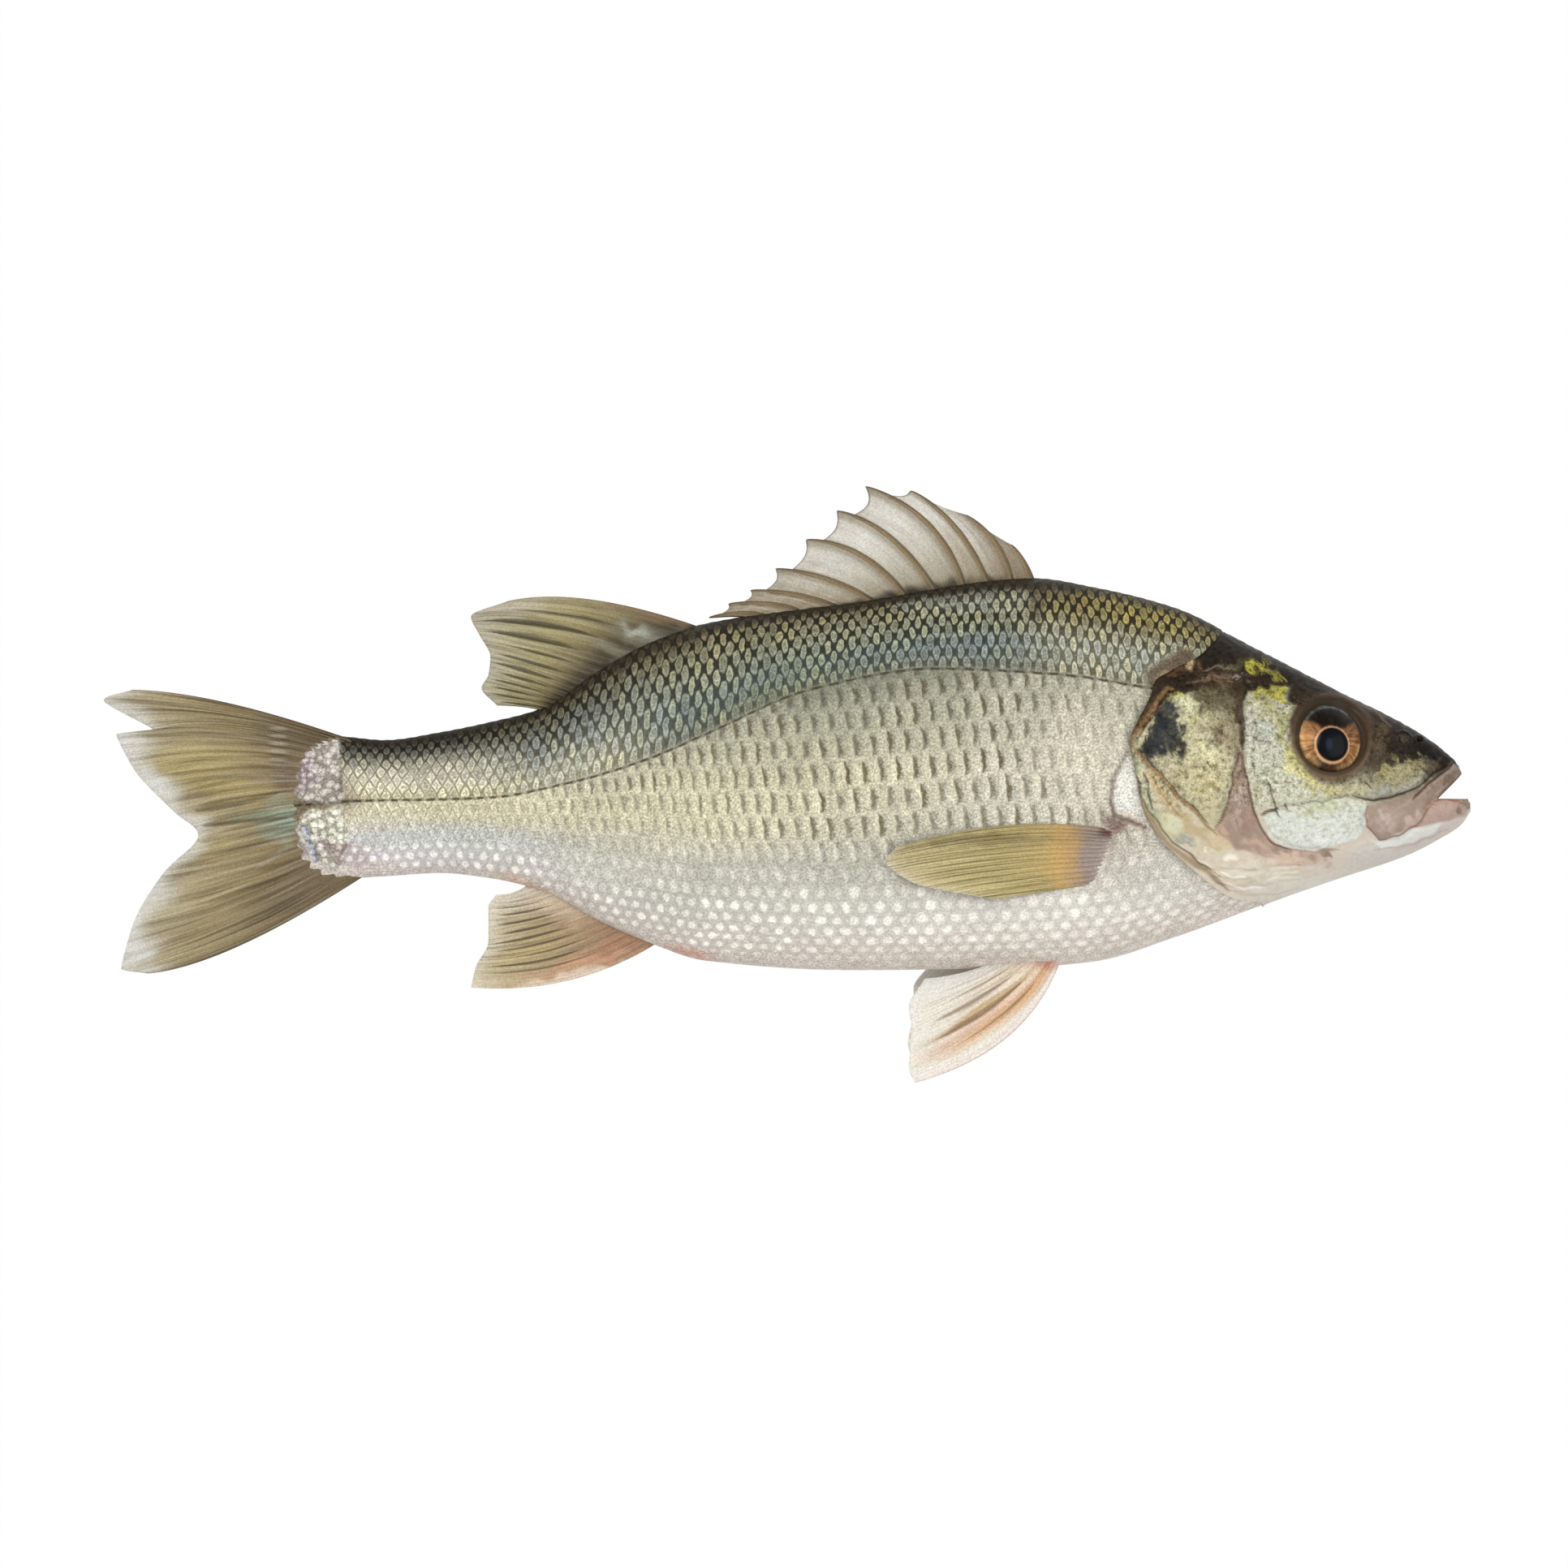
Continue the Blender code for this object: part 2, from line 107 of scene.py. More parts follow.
# the body that every piece follows, in mm
body = {
    "midplane": 18.4,  # height of the fish's own middle plane over the floor
    "tailSag": 15.5,
    "tailSagFrom": 42.0,
    "snoutSag": 3.0,
    "snoutSagFrom": 60.0,
    "halfLength": 140.0,
    # x, back, belly, half thickness
    "stations": (
        (-101.0, 2.4, -12.6, 0.5), (-98.4, 8.0, -17.2, 1.6), (-92.0, 9.8, -19.4, 3.4), (-81.7, 9.0, -18.9, 5.1),
        (-70.2, 10.6, -18.2, 6.2), (-60.3, 12.6, -19.2, 7.1), (-49.1, 15.6, -21.9, 8.5), (-38.9, 22.6, -27.4, 10.0),
        (-27.4, 29.0, -32.4, 11.8), (-16.0, 32.7, -36.0, 13.7), (13.8, 36.9, -37.9, 17.3), (50.9, 41.9, -37.2, 19.3),
        (63.3, 40.0, -36.1, 19.4), (79.8, 35.8, -31.1, 18.0), (96.2, 27.5, -25.1, 15.9), (112.7, 19.0, -19.4, 13.1),
        (127.6, 11.5, -14.3, 9.4), (134.0, 7.2, -11.0, 6.6), (138.2, 2.6, -8.2, 4.4), (140.0, -4.0, -5.6, 0.9),
    ),
}
stationX, backY, bellyY, halfZ = np.array(body["stations"]).T
backLine, bellyLine, halfThickness = (smoothCurve(stationX, row) for row in (backY, bellyY, halfZ))


def midplane(x):
    tail = np.maximum(0, (body["tailSagFrom"] - x) / (body["tailSagFrom"] + body["halfLength"]))
    snout = np.maximum(0, (x - body["snoutSagFrom"]) / (body["halfLength"] - body["snoutSagFrom"]))
    return body["midplane"] - body["tailSag"] * tail**2 - body["snoutSag"] * snout**2


def section(x, raised=0.0):
    back, belly = backLine(x) + raised, bellyLine(x) - raised
    widest = (back + belly) / 2
    head = smoothStep(60, 110, x)
    return widest, (back - belly) / 2, halfThickness(x) + raised, 1.12 - 0.3 * head, 0.88 + 0.2 * head


def skinPoint(x, angle, raised=0.0):
    # angle 0 on the upper flank, a quarter turn on the back, a half turn on the lower flank
    widest, high, half, powerUp, powerDown = section(x, raised)
    level, side = np.sin(angle), np.cos(angle)
    power = np.where(level > 0, powerUp, powerDown)
    rise = np.sign(side) * half * np.abs(side) ** power
    return np.stack([x + 0 * level, widest + high * level, midplane(x) + rise], -1)


def flankRise(x, y):
    # from the middle plane out to the skin, at a point of the side view
    widest, high, half, powerUp, powerDown = section(x)
    level = np.minimum(1, np.abs(y - widest) / high)
    return half * np.sqrt(1 - level**2) ** np.where(y > widest, powerUp, powerDown)


# the head's rear edge: over the nape, then round the gill cover to the throat
seamPixels = (
    (1510, 772), (1474, 808), (1440, 826), (1420, 842), (1413, 862), (1398, 890), (1387, 917), (1391.6, 936),
    (1402.5, 992.5), (1424, 1030), (1449, 1052), (1480.6, 1077), (1502.5, 1092.5), (1527.5, 1102), (1552.5, 1108),
    (1560, 1122),
)
seamPoints = onFish(seamPixels)[::-1]
seamX = smoothCurve(seamPoints[:, 1], seamPoints[:, 0])
lateralPixels = (
    (1420, 850), (1300, 832), (1150, 825), (1000, 850), (870, 905), (800, 935), (700, 965), (600, 983), (415, 988),
    (360, 993),
)
lateralLine = smoothCurve(*np.array(lateralPixels, float)[::-1].T)


# painting at points of the side view
def linear(colour):
    c = np.asarray(colour, float) / 255
    return np.where(c <= 0.04045, c / 12.92, ((c + 0.055) / 1.055) ** 2.4)


def toLine(px, py, line):
    # distance to a run of points, and how far along it the nearest place is
    line = np.asarray(line, float)
    best, share = np.full(px.shape, 1e9), np.zeros(px.shape)
    lengths = np.hypot(*np.diff(line, axis=0).T)
    total, gone = lengths.sum(), 0.0
    for a, b, length in zip(line[:-1], line[1:], lengths):
        t = np.clip(((px - a[0]) * (b[0] - a[0]) + (py - a[1]) * (b[1] - a[1])) / length**2, 0, 1)
        away = np.hypot(px - a[0] - t * (b[0] - a[0]), py - a[1] - t * (b[1] - a[1]))
        nearer = away < best
        best = np.where(nearer, away, best)
        share = np.where(nearer, (gone + t * length) / total, share)
        gone += length
    return best, share


def inside(px, py, outline):
    outline = np.asarray(outline, float)
    hits = np.zeros(px.shape, bool)
    for (ax, ay), (bx, by) in zip(outline, np.roll(outline, -1, 0)):
        if ay != by:
            hits ^= ((ay > py) != (by > py)) & (px < (bx - ax) * (py - ay) / (by - ay) + ax)
    return hits


def edgeDistance(px, py, outline):
    # minus inside the outline, plus outside it
    closed = list(outline) + [outline[0]]
    away = toLine(px, py, closed)[0]
    return np.where(inside(px, py, outline), -away, away)


def blob(px, py, centre, radii, turn=0.0, soft=0.6):
    a = math.radians(turn)
    dx, dy = px - centre[0], py - centre[1]
    u, v = (dx * math.cos(a) + dy * math.sin(a)) / radii[0], (dy * math.cos(a) - dx * math.sin(a)) / radii[1]
    return smoothStep(1 + soft * 0.5, 1 - soft, np.hypot(u, v))


def area(px, py, outline, soft=3.0):
    return smoothStep(soft, -soft, edgeDistance(px, py, outline))


def waver(px, py, amount, size, number):
    # bends the places a little, so that painted edges come out uneven
    chance = np.random.default_rng(number)
    shifts = []
    for _ in range(2):
        shift = np.zeros(px.shape)
        for _ in range(7):
            turn, phase = chance.uniform(0, 2 * math.pi), chance.uniform(0, 2 * math.pi)
            length = size * chance.uniform(0.5, 1.8)
            shift += np.sin((px * math.cos(turn) + py * math.sin(turn)) * 2 * math.pi / length + phase)
        shifts.append(shift * amount / 2.6)
    return px + shifts[0], py + shifts[1]


def stroke(px, py, line, width, soft=0.6, taper=0.3):
    away, share = toLine(px, py, line)
    ends = np.minimum(1, np.minimum(share, 1 - share) / taper) ** 0.5 if taper else 1
    wide = width / 2 * np.maximum(ends, 0.05)
    return smoothStep(1 + soft * 0.6, 1 - soft, away / wide)


def lay(paint, mask, colour, strength=1.0):
    m = (np.clip(mask, 0, 1) * strength)[:, None]
    paint[:] = paint * (1 - m) + linear(colour) * m


def layBlobs(paint, px, py, rows):
    # centre, radii, turn, colour, strength, softness
    for centre, radii, turn, colour, strength, soft in rows:
        lay(paint, blob(px, py, centre, radii, turn, soft), colour, strength)


def layStrokes(paint, px, py, rows, soft=0.8, taper=0.15):
    # points, width, colour, strength
    for points, width, colour, strength in rows:
        lay(paint, stroke(px, py, points, width, soft, taper), colour, strength)


def colourCurve(stops):
    # colours in between given ones, along one measure
    places = [stop[0] for stop in stops]
    colours = np.array([linear(stop[1]) for stop in stops])
    return lambda t: np.stack([np.interp(t, places, colours[:, i]) for i in range(3)], -1)


# meshes
def deselectAll():
    for item in bpy.context.view_layer.objects:
        item.select_set(False)


def selectOnly(piece):
    deselectAll()
    piece.select_set(True)
    bpy.context.view_layer.objects.active = piece


def readPoints(piece):
    points = np.empty(len(piece.data.vertices) * 3, np.float64)
    piece.data.vertices.foreach_get("co", points)
    return points.reshape(-1, 3)


def shapePiece(piece, points):
    # moves the points, given in mm, and turns the faces out
    piece.data.vertices.foreach_set("co", np.ascontiguousarray(points * mm, np.float32).ravel())
    piece.data.update()
    selectOnly(piece)
    bpy.ops.object.mode_set(mode="EDIT")
    bpy.ops.mesh.select_all(action="SELECT")
    bpy.ops.mesh.normals_make_consistent(inside=False)
    bpy.ops.object.mode_set(mode="OBJECT")


def added(name, primitive, **settings):
    deselectAll()
    primitive(location=(0, 0, 0), **settings)
    piece = bpy.context.object
    piece.name = piece.data.name = name
    return piece


def addSphere(name, segments, rings):
    # gives the piece, and for each vertex its share along the poles and its angle round them
    piece = added(name, bpy.ops.mesh.primitive_uv_sphere_add, segments=segments, ring_count=rings, radius=1)
    points = readPoints(piece)
    share = np.arccos(np.clip(-points[:, 2], -1, 1)) / math.pi
    angle = np.arctan2(points[:, 1], points[:, 0])
    pole = np.hypot(points[:, 0], points[:, 1]) < 1e-5
    return piece, share, angle, pole


def crowdUpper(angle, share):
    # more of the columns on the flank that faces up
    turn = np.abs(angle) / math.pi
    bent = np.where(turn < share, turn / share * 0.5, 0.5 + (turn - share) / (1 - share) * 0.5)
    return np.sign(angle) * bent * math.pi


def addSheet(name, columns, rows):
    # a closed thin sheet: gives the piece, the two shares over it, and which side each vertex is on
    piece = added(name, bpy.ops.mesh.primitive_grid_add, x_subdivisions=columns, y_subdivisions=rows, size=2)
    thick = piece.modifiers.new("thickness", "SOLIDIFY")
    thick.thickness = 0.1
    bpy.ops.object.modifier_apply(modifier="thickness")
    points = readPoints(piece)
    return piece, (points[:, 0] + 1) / 2, (points[:, 1] + 1) / 2, np.where(points[:, 2] > -0.05, 1.0, -1.0)


def writeColour(piece, name, colours):
    rgba = np.ones((len(piece.data.vertices), 4), np.float32)
    rgba[:, : colours.shape[1]] = colours
    piece.data.attributes.new(name, "FLOAT_COLOR", "POINT").data.foreach_set("color", rgba.ravel())


def writeMap(piece, name, u, v, clear=True):
    for layer in list(piece.data.uv_layers) if clear else ():
        piece.data.uv_layers.remove(layer)
    layer = piece.data.uv_layers.new(name=name)
    corner = np.empty(len(piece.data.loops), np.int32)
    piece.data.loops.foreach_get("vertex_index", corner)
    layer.data.foreach_set("uv", np.stack([u, v], -1)[corner].astype(np.float32).ravel())


def finishPiece(piece, material, node="fish", angle=60):
    piece.data.materials.clear()
    piece.data.materials.append(material)
    selectOnly(piece)
    bpy.ops.object.shade_smooth_by_angle(angle=math.radians(angle))
    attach(piece, "root")
    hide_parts(node)
    print(f"{piece.name}: {len(piece.data.polygons)} faces")


# material nodes, added to the material that newMaterial made last
shading = {}


def addNode(kind, inputs=None, **settings):
    tree = shading["tree"]
    new = tree.nodes.new("ShaderNode" + kind)
    for key, value in settings.items():
        setattr(new, key, value)
    for key, value in (inputs or {}).items():
        if isinstance(value, bpy.types.NodeSocket):
            tree.links.new(value, new.inputs[key])
        else:
            new.inputs[key].default_value = value
    return new


def maths(operation, *values):
    return addNode("Math", dict(enumerate(values)), operation=operation).outputs[0]


plus, minus, divided, absolute, scaled = (
    functools.partial(maths, name) for name in ("ADD", "SUBTRACT", "DIVIDE", "ABSOLUTE", "MULTIPLY_ADD")
)


def product(*values):
    return functools.reduce(functools.partial(maths, "MULTIPLY"), values)


def ramp(value, low, high, start=0.0, end=1.0):
    return addNode(
        "MapRange", {0: value, 1: low, 2: high, 3: start, 4: end}, interpolation_type="SMOOTHSTEP",
    ).outputs[0]


def mixed(factor, first, second, blend="MIX"):
    return addNode(
        "Mix", {0: factor, 6: first, 7: second}, data_type="RGBA", blend_type=blend, clamp_factor=True,
    ).outputs[2]


def grey(value):
    return addNode("CombineColor", {0: value, 1: value, 2: value}).outputs[0]


def dimmed(colour, factor):
    return mixed(1.0, colour, grey(factor), "MULTIPLY")


def flat(colour):
    return (*linear(colour), 1.0)


def attribute(name):
    return addNode("Attribute", attribute_name=name)


def objectPlace(scale=(1, 1, 1)):
    coordinates = addNode("TexCoord").outputs["Object"]
    return addNode("Mapping", {0: coordinates, "Scale": scale}).outputs[0]


def noise(vector, scale, detail=3.0, roughness=0.5, distortion=0.0):
    inputs = {"Vector": vector, "Scale": scale, "Detail": detail, "Roughness": roughness, "Distortion": distortion}
    return addNode("TexNoise", inputs).outputs[0]


def newMaterial(name, roughness, coat=0.0, coatRoughness=0.1, specular=0.5):
    material = bpy.data.materials.new(name)
    material.use_nodes = True
    tree = shading["tree"] = material.node_tree
    shader = tree.nodes["Principled BSDF"]
    shader.inputs["Roughness"].default_value = roughness
    shader.inputs["Coat Weight"].default_value = coat
    shader.inputs["Coat Roughness"].default_value = coatRoughness
    shader.inputs["Specular IOR Level"].default_value = specular
    return material, shader


def drive(shader, name, value):
    shading["tree"].links.new(value, shader.inputs[name])


def bump(shader, height, distance, strength=1.0):
    new = addNode("Bump", {"Height": height, "Distance": distance, "Strength": strength})
    drive(shader, "Normal", new.outputs[0])


# scales
scales = {
    "pitch": ((-101, 2.5), (-60, 2.55), (-21, 2.6), (6, 3.41), (100, 3.41)),  # x, length of the open part of a scale
    "backPitch": ((-101, 2.2), (-60, 2.4), (-21, 2.6), (6, 2.45), (100, 2.35)),  # the same over the lateral line
    "rowsUp": (6.7, 9.8),  # rows over the middle, on the tail's stalk and on the body
    "rowsDown": (6.7, 12.4),
    "backRows": 8.6,  # rows from the lateral line to the back
    "oval": (0.31, 0.74),  # half the length and height of a light oval over the line, in pitches and rows
    "lean": 0.2,  # how far a flank scale's dash leans
    "height": 0.07,  # mm
}
pitchTable = np.linspace(-110, 110, 1101)


def countColumns(pitches):
    at, length = np.array(pitches, float).T
    return np.cumsum(0.2 / np.interp(pitchTable, at, length))


columnTable, backColumnTable = countColumns(scales["pitch"]), countColumns(scales["backPitch"])


def scalePlace(x, angle):
    level = np.sin(angle)
    t = np.abs(level)
    stalk = smoothStep(-10, -60, x)
    upRows = scales["rowsUp"][1] + (scales["rowsUp"][0] - scales["rowsUp"][1]) * stalk
    downRows = scales["rowsDown"][1] + (scales["rowsDown"][0] - scales["rowsDown"][1]) * stalk
    up = -upRows * ((0.7 * t + 0.3 * t**4) * (1 - stalk) + t * stalk)
    down = downRows * ((0.55 * t + 0.45 * t**4) * (1 - stalk) + (0.85 * t + 0.15 * t**3) * stalk)
    return np.interp(x, pitchTable, columnTable), np.where(level > 0, up, down)


def overLine(x, y):
    # 0 on the lateral line, 1 on the back
    line = (photoMiddle - lateralLine(x / pixel + photoMiddle)) * pixel
    return (y - line) / (backLine(x) - line)


def backScalePlace(x, y):
    share = overLine(x, y)
    return np.interp(x, pitchTable, backColumnTable), -scales["backRows"] * (
        0.86 * share + 0.14 * np.maximum(share, 0) ** 5
    )


def nearCells(u, v):
    # place inside the scale's own cell and inside the nearest cell of the next row, which is half a scale along
    row = np.floor(v)
    down = v - row - 0.5
    side = np.sign(down)
    offset = np.mod(row, 2) * 0.5
    return (np.mod(u + offset, 1) - 0.5, down), (np.mod(u + 0.5 - offset, 1) - 0.5, down - side)


def ovalHeight(u, v):
    halfLength, halfHeight = scales["oval"]
    away = [(along / halfLength) ** 2 + (down / halfHeight) ** 2 for along, down in nearCells(u, v)]
    return np.sqrt(np.clip(1 - np.minimum(*away), 0, 1))


def dashHeight(u, v):
    # a soft ridge with a groove in front of it
    along, down = nearCells(u, v)[0]
    along = along - scales["lean"] * down
    tall = np.clip(1 - np.abs(down / 0.5) ** 1.6, 0, 1)
    return 0.5 + 0.5 * tall * (0.8 * hill(along, -0.2, 0.14) - hill(along, 0.04, 0.12))


def cellNodes(mapName, warp, amount):
    # the same two cells as nearCells, a little warped: along, down and number of each, then the map's u
    split = addNode("SeparateXYZ", {0: addNode("UVMap", uv_map=mapName).outputs[0]})
    u = scaled(minus(warp.outputs[0], 0.5), amount, split.outputs[0])
    v = scaled(minus(warp.outputs[1], 0.5), amount, split.outputs[1])
    row = maths("FLOOR", v)
    down = minus(minus(v, row), 0.5)
    side = maths("SIGN", down)
    offset = product(maths("FLOORED_MODULO", row, 2.0), 0.5)
    cells = []
    for shift, cellRow, cellDown in ((offset, row, down), (minus(0.5, offset), plus(row, side), minus(down, side))):
        moved = plus(u, shift)
        column = maths("FLOOR", moved)
        along = minus(minus(moved, column), 0.5)
        cells.append((along, cellDown, addNode("CombineXYZ", {0: column, 1: cellRow}).outputs[0]))
    return cells, u


trunk = {
    "segments": 256,
    "rings": 386,
    "upperShare": 0.6,
    "tail": -101.0,
    "front": 100.0,  # its front end lies under the head and shows again at the throat
    "netTo": -46.0,  # x where the stalk's net of diamonds ends
    "sinkAtGill": 1.5,
    "sinkAtNape": 1.0,
    # how fine each noise is
    "fineNoise": 2400.0,
    "mottleNoise": 900.0,
    "warpNoise": 480.0,
    "silverScales": 860.0,
}
napeFrom, napeTo = onFish((1440, 852))[1], onFish((1440, 826))[1]  # the seam changes from gill slit to nape here


def trunkPaint(x, y, angle):
    px, py = inPhoto(x, y)
    level = np.sin(angle)
    s = (1 - level) / 2
    over = overLine(x, y)
    qx, qy = waver(px, py, 4, 30, 3)
    # over the lateral line: the scales' own colour and the dark between them, on the stalk and on the body
    stations = (
        # from x to x in pixels, the scales' colour and the dark between them, from the lateral line to the back
        (
            0, 1,
            (
                (0, (184, 177, 152)), (0.2, (200, 195, 172)), (0.35, (194, 189, 170)), (0.5, (174, 170, 152)),
                (0.65, (144, 142, 126)), (0.8, (98, 96, 82)), (0.93, (50, 47, 38)), (1, (32, 29, 23)),
            ),
            (
                (0, (146, 140, 112)), (0.2, (158, 152, 126)), (0.35, (148, 142, 118)), (0.5, (114, 110, 90)),
                (0.65, (68, 66, 52)), (0.8, (30, 29, 23)), (1, (18, 16, 13)),
            ),
        ),
        (
            560, 680,
            (
                (0, (190, 188, 166)), (0.15, (190, 188, 168)), (0.4, (150, 154, 144)), (0.63, (116, 118, 108)),
                (0.87, (98, 93, 71)), (1, (42, 37, 28)),
            ),
            (
                (0, (146, 142, 116)), (0.15, (140, 136, 112)), (0.4, (86, 86, 72)), (0.63, (46, 47, 40)),
                (0.87, (30, 27, 20)), (1, (18, 16, 13)),
            ),
        ),
        (
            700, 860,
            (
                (0, (128, 130, 116)), (0.15, (126, 132, 124)), (0.3, (124, 134, 132)), (0.45, (138, 142, 126)),
                (0.7, (138, 136, 110)), (0.88, (116, 108, 82)), (0.96, (66, 58, 43)), (1, (36, 31, 25)),
            ),
            (
                (0, (78, 78, 66)), (0.15, (66, 70, 62)), (0.3, (58, 64, 60)), (0.5, (46, 48, 36)),
                (0.7, (40, 39, 27)), (0.9, (27, 23, 17)), (1, (18, 16, 13)),
            ),
        ),
        (
            1210, 1330,
            (
                (0, (156, 153, 132)), (0.2, (164, 164, 148)), (0.35, (160, 160, 146)), (0.5, (158, 155, 132)),
                (0.65, (134, 126, 92)), (0.8, (112, 102, 68)), (0.92, (80, 71, 52)), (1, (46, 40, 32)),
            ),
            (
                (0, (92, 88, 68)), (0.2, (106, 106, 88)), (0.35, (96, 96, 80)), (0.5, (72, 70, 52)),
                (0.65, (46, 41, 29)), (0.8, (38, 33, 23)), (1, (24, 20, 15)),
            ),
        ),
    )
    up, gapUp = 0, 0
    for begin, end, scaleStops, gapStops in stations:
        share = smoothStep(begin, end, px)[:, None]
        up = up * (1 - share) + colourCurve(scaleStops)(over) * share
        gapUp = gapUp * (1 - share) + colourCurve(gapStops)(over) * share
    shade = np.interp(px, (440, 560, 700, 860, 1250, 1400), (0.9, 0.82, 0.84, 0.9, 0.9, 0.96))[:, None]
    shade = shade * (1 - 0.3 * smoothStep(0.55, 0.8, over) * smoothStep(700, 560, px))[:, None]
    up, gapUp = up * shade, gapUp * shade
    # under it
    stalkDown = colourCurve((
        (0.3, (186, 181, 150)), (0.5, (206, 200, 166)), (0.62, (204, 199, 170)), (0.72, (188, 188, 176)),
        (0.84, (190, 187, 180)), (0.93, (198, 189, 179)), (1, (184, 174, 164)),
    ))
    bodyDown = colourCurve((
        (0.15, (186, 182, 160)), (0.36, (196, 191, 165)), (0.48, (204, 198, 170)), (0.6, (200, 195, 171)),
        (0.72, (190, 187, 172)), (0.86, (196, 192, 182)), (0.95, (204, 195, 184)), (1, (196, 186, 176)),
    ))
    chestDown = colourCurve((
        (0.15, (184, 181, 162)), (0.3, (192, 187, 166)), (0.5, (202, 197, 177)), (0.7, (202, 198, 184)),
        (0.88, (214, 209, 199)), (0.95, (210, 199, 188)), (1, (200, 188, 178)),
    ))
    w = smoothStep(480, 760, px)[:, None]
    v = smoothStep(1020, 1300, px)[:, None]
    down = stalkDown(s) * (1 - w) + bodyDown(s) * w * (1 - v) + chestDown(s) * v
    low = smoothStep(1070, 1110, py)
    dim = np.interp(
        px, (440, 500, 600, 700, 800, 900, 1050, 1200, 1300, 1400),
        (1.05, 1.03, 0.9, 0.96, 0.98, 0.98, 0.91, 0.9, 0.94, 0.97),
    )
    dimLow = np.interp(
        px, (440, 500, 600, 700, 800, 900, 1050, 1200, 1300, 1400),
        (0.92, 0.88, 0.85, 0.83, 0.86, 0.95, 1.02, 1.02, 1.0, 1.0),
    )
    down = down * (dim * (1 - low) + dimLow * low)[:, None]
    down *= (1 - 0.1 * hill(py, 1072, 34) * smoothStep(740, 860, px))[:, None]
    up[:, 2] *= 1 - 0.2 * hill(px, 970, 110) * smoothStep(0.5, 0.3, over)
    down[:, 2] *= np.interp(px, (440, 500, 600, 800), (1.14, 1.12, 1.06, 1.0))
    above = smoothStep(-0.02, 0.02, over)[:, None]
    paint = up * above + down * (1 - above)
    under = colourCurve((
        (0.15, (76, 71, 52)), (0.5, (92, 84, 58)), (0.62, (116, 106, 78)), (0.74, (142, 136, 116)),
        (0.86, (166, 160, 150)), (1, (180, 168, 156)),
    ))
    gap = gapUp * above + under(s) * (1 - above)
    aboveLine = lateralLine(px) - py  # pixels over the lateral line
    dusk = np.interp(-aboveLine, (0, 12, 30, 50, 75, 100, 130), (0.95, 0.84, 0.6, 0.45, 0.34, 0.18, 0.0))
    dusk *= 1 - above[:, 0]
    dusk *= np.interp(
        px, (620, 720, 800, 900, 1000, 1150, 1230, 1320, 1400), (0.0, 0.2, 0.35, 0.66, 0.95, 0.92, 0.55, 0.32, 0.2),
    )
    lay(paint, dusk, (112, 114, 98))
    # paler, bluer scales under the fin
    lay(paint, blob(qx, qy, (1190, 742), (100, 16), -2, 0.5), (160, 164, 152), 0.45)
    lay(gap, blob(qx, qy, (1190, 742), (90, 12), -2, 0.5), (74, 76, 64), 0.6)
    layBlobs(paint, qx, qy, (
        ((1280, 740), (14, 34), 8, (74, 64, 46), 0.7, 0.6),
        ((1400, 752), (80, 24), 18, (156, 142, 84), 0.6, 0.6),
        ((620, 995), (240, 26), 2, (204, 197, 160), 0.4, 0.8),
    ))
    layBlobs(paint, px, py, (
        ((880, 1000), (120, 50), 2, (206, 200, 168), 0.4, 0.7),
        ((560, 1035), (130, 22), 4, (196, 200, 196), 0.5, 0.7),
    ))
    # darker edge of the back, before and behind the fins
    lay(paint, smoothStep(0.84, 0.97, over), (48, 43, 33), 0.75)
    lay(gap, smoothStep(0.8, 0.95, over), (34, 30, 22), 0.8)
    finRoots = stroke(px, py, (
        (868, 770), (920, 752), (1010, 745), (1130, 728), (1262, 716), (1290, 716),
    ), 26, 0.9, 0.05)
    lay(paint, finRoots, (46, 40, 31), 0.85)
    lay(gap, finRoots, (34, 30, 22), 0.85)
    softRoots = stroke(px, py, ((866, 775), (820, 790), (760, 815), (710, 842), (672, 868)), 30, 0.9, 0.05)
    lay(paint, softRoots, (56, 50, 38), 0.85)
    lay(gap, softRoots, (38, 33, 25), 0.85)
    # dark armpit over the pectoral fin's root
    layBlobs(paint, qx, qy, (
        ((1372, 1016), (14, 14), 0, (84, 44, 40), 0.9, 0.6),
        ((1350, 1040), (44, 44), 0, (164, 148, 136), 0.5, 0.6),
    ))
    # smooth bright wedge behind the gill cover, and its dark edge
    wedge = (
        (1378, 926), (1366, 955), (1362, 985), (1372, 1008), (1412, 1022), (1436, 1040), (1404, 992), (1394, 940),
    )
    inWedge = area(px, py, wedge, 3)
    lay(paint, inWedge, (216, 216, 208))
    lay(paint, blob(px, py, (1396, 1012), (30, 10), 22, 0.6), (196, 176, 160), 0.6)
    lay(paint, stroke(px, py, (
        (1387, 922), (1369, 955), (1364, 985), (1369, 1004), (1410, 1020),
    ), 7, 0.8, 0.1), (88, 70, 54), 0.9)
    # brown bumpy shoulder, with the last scales going under it
    shoulder = blob(qx, qy, (1440, 826), (40, 18), -24, 0.35)
    lay(paint, shoulder, (88, 70, 52), 0.9)
    lay(paint, blob(qx, qy, (1428, 836), (14, 7), -24, 0.4), (168, 148, 116), 0.7)
    chest = blob(qx, qy, (1330, 930), (70, 60), 30, 0.8)
    lay(paint, chest, (208, 201, 182), 0.5)
    # belly edge without scales
    bare = (
        smoothStep(0.945, 0.975, s) * smoothStep(460, 520, px)
        + smoothStep(0.86, 0.92, s) * smoothStep(520, 460, px)
    )
    bare = np.clip(bare, 0, 1)
    lay(paint, bare, (206, 195, 184), 0.7)
    layBlobs(paint, px, py, (
        ((850, 1176), (40, 10), 14, (190, 126, 104), 0.6, 0.7),  # vent
        ((640, 1092), (34, 14), 24, (206, 168, 142), 0.6, 0.7),
    ))
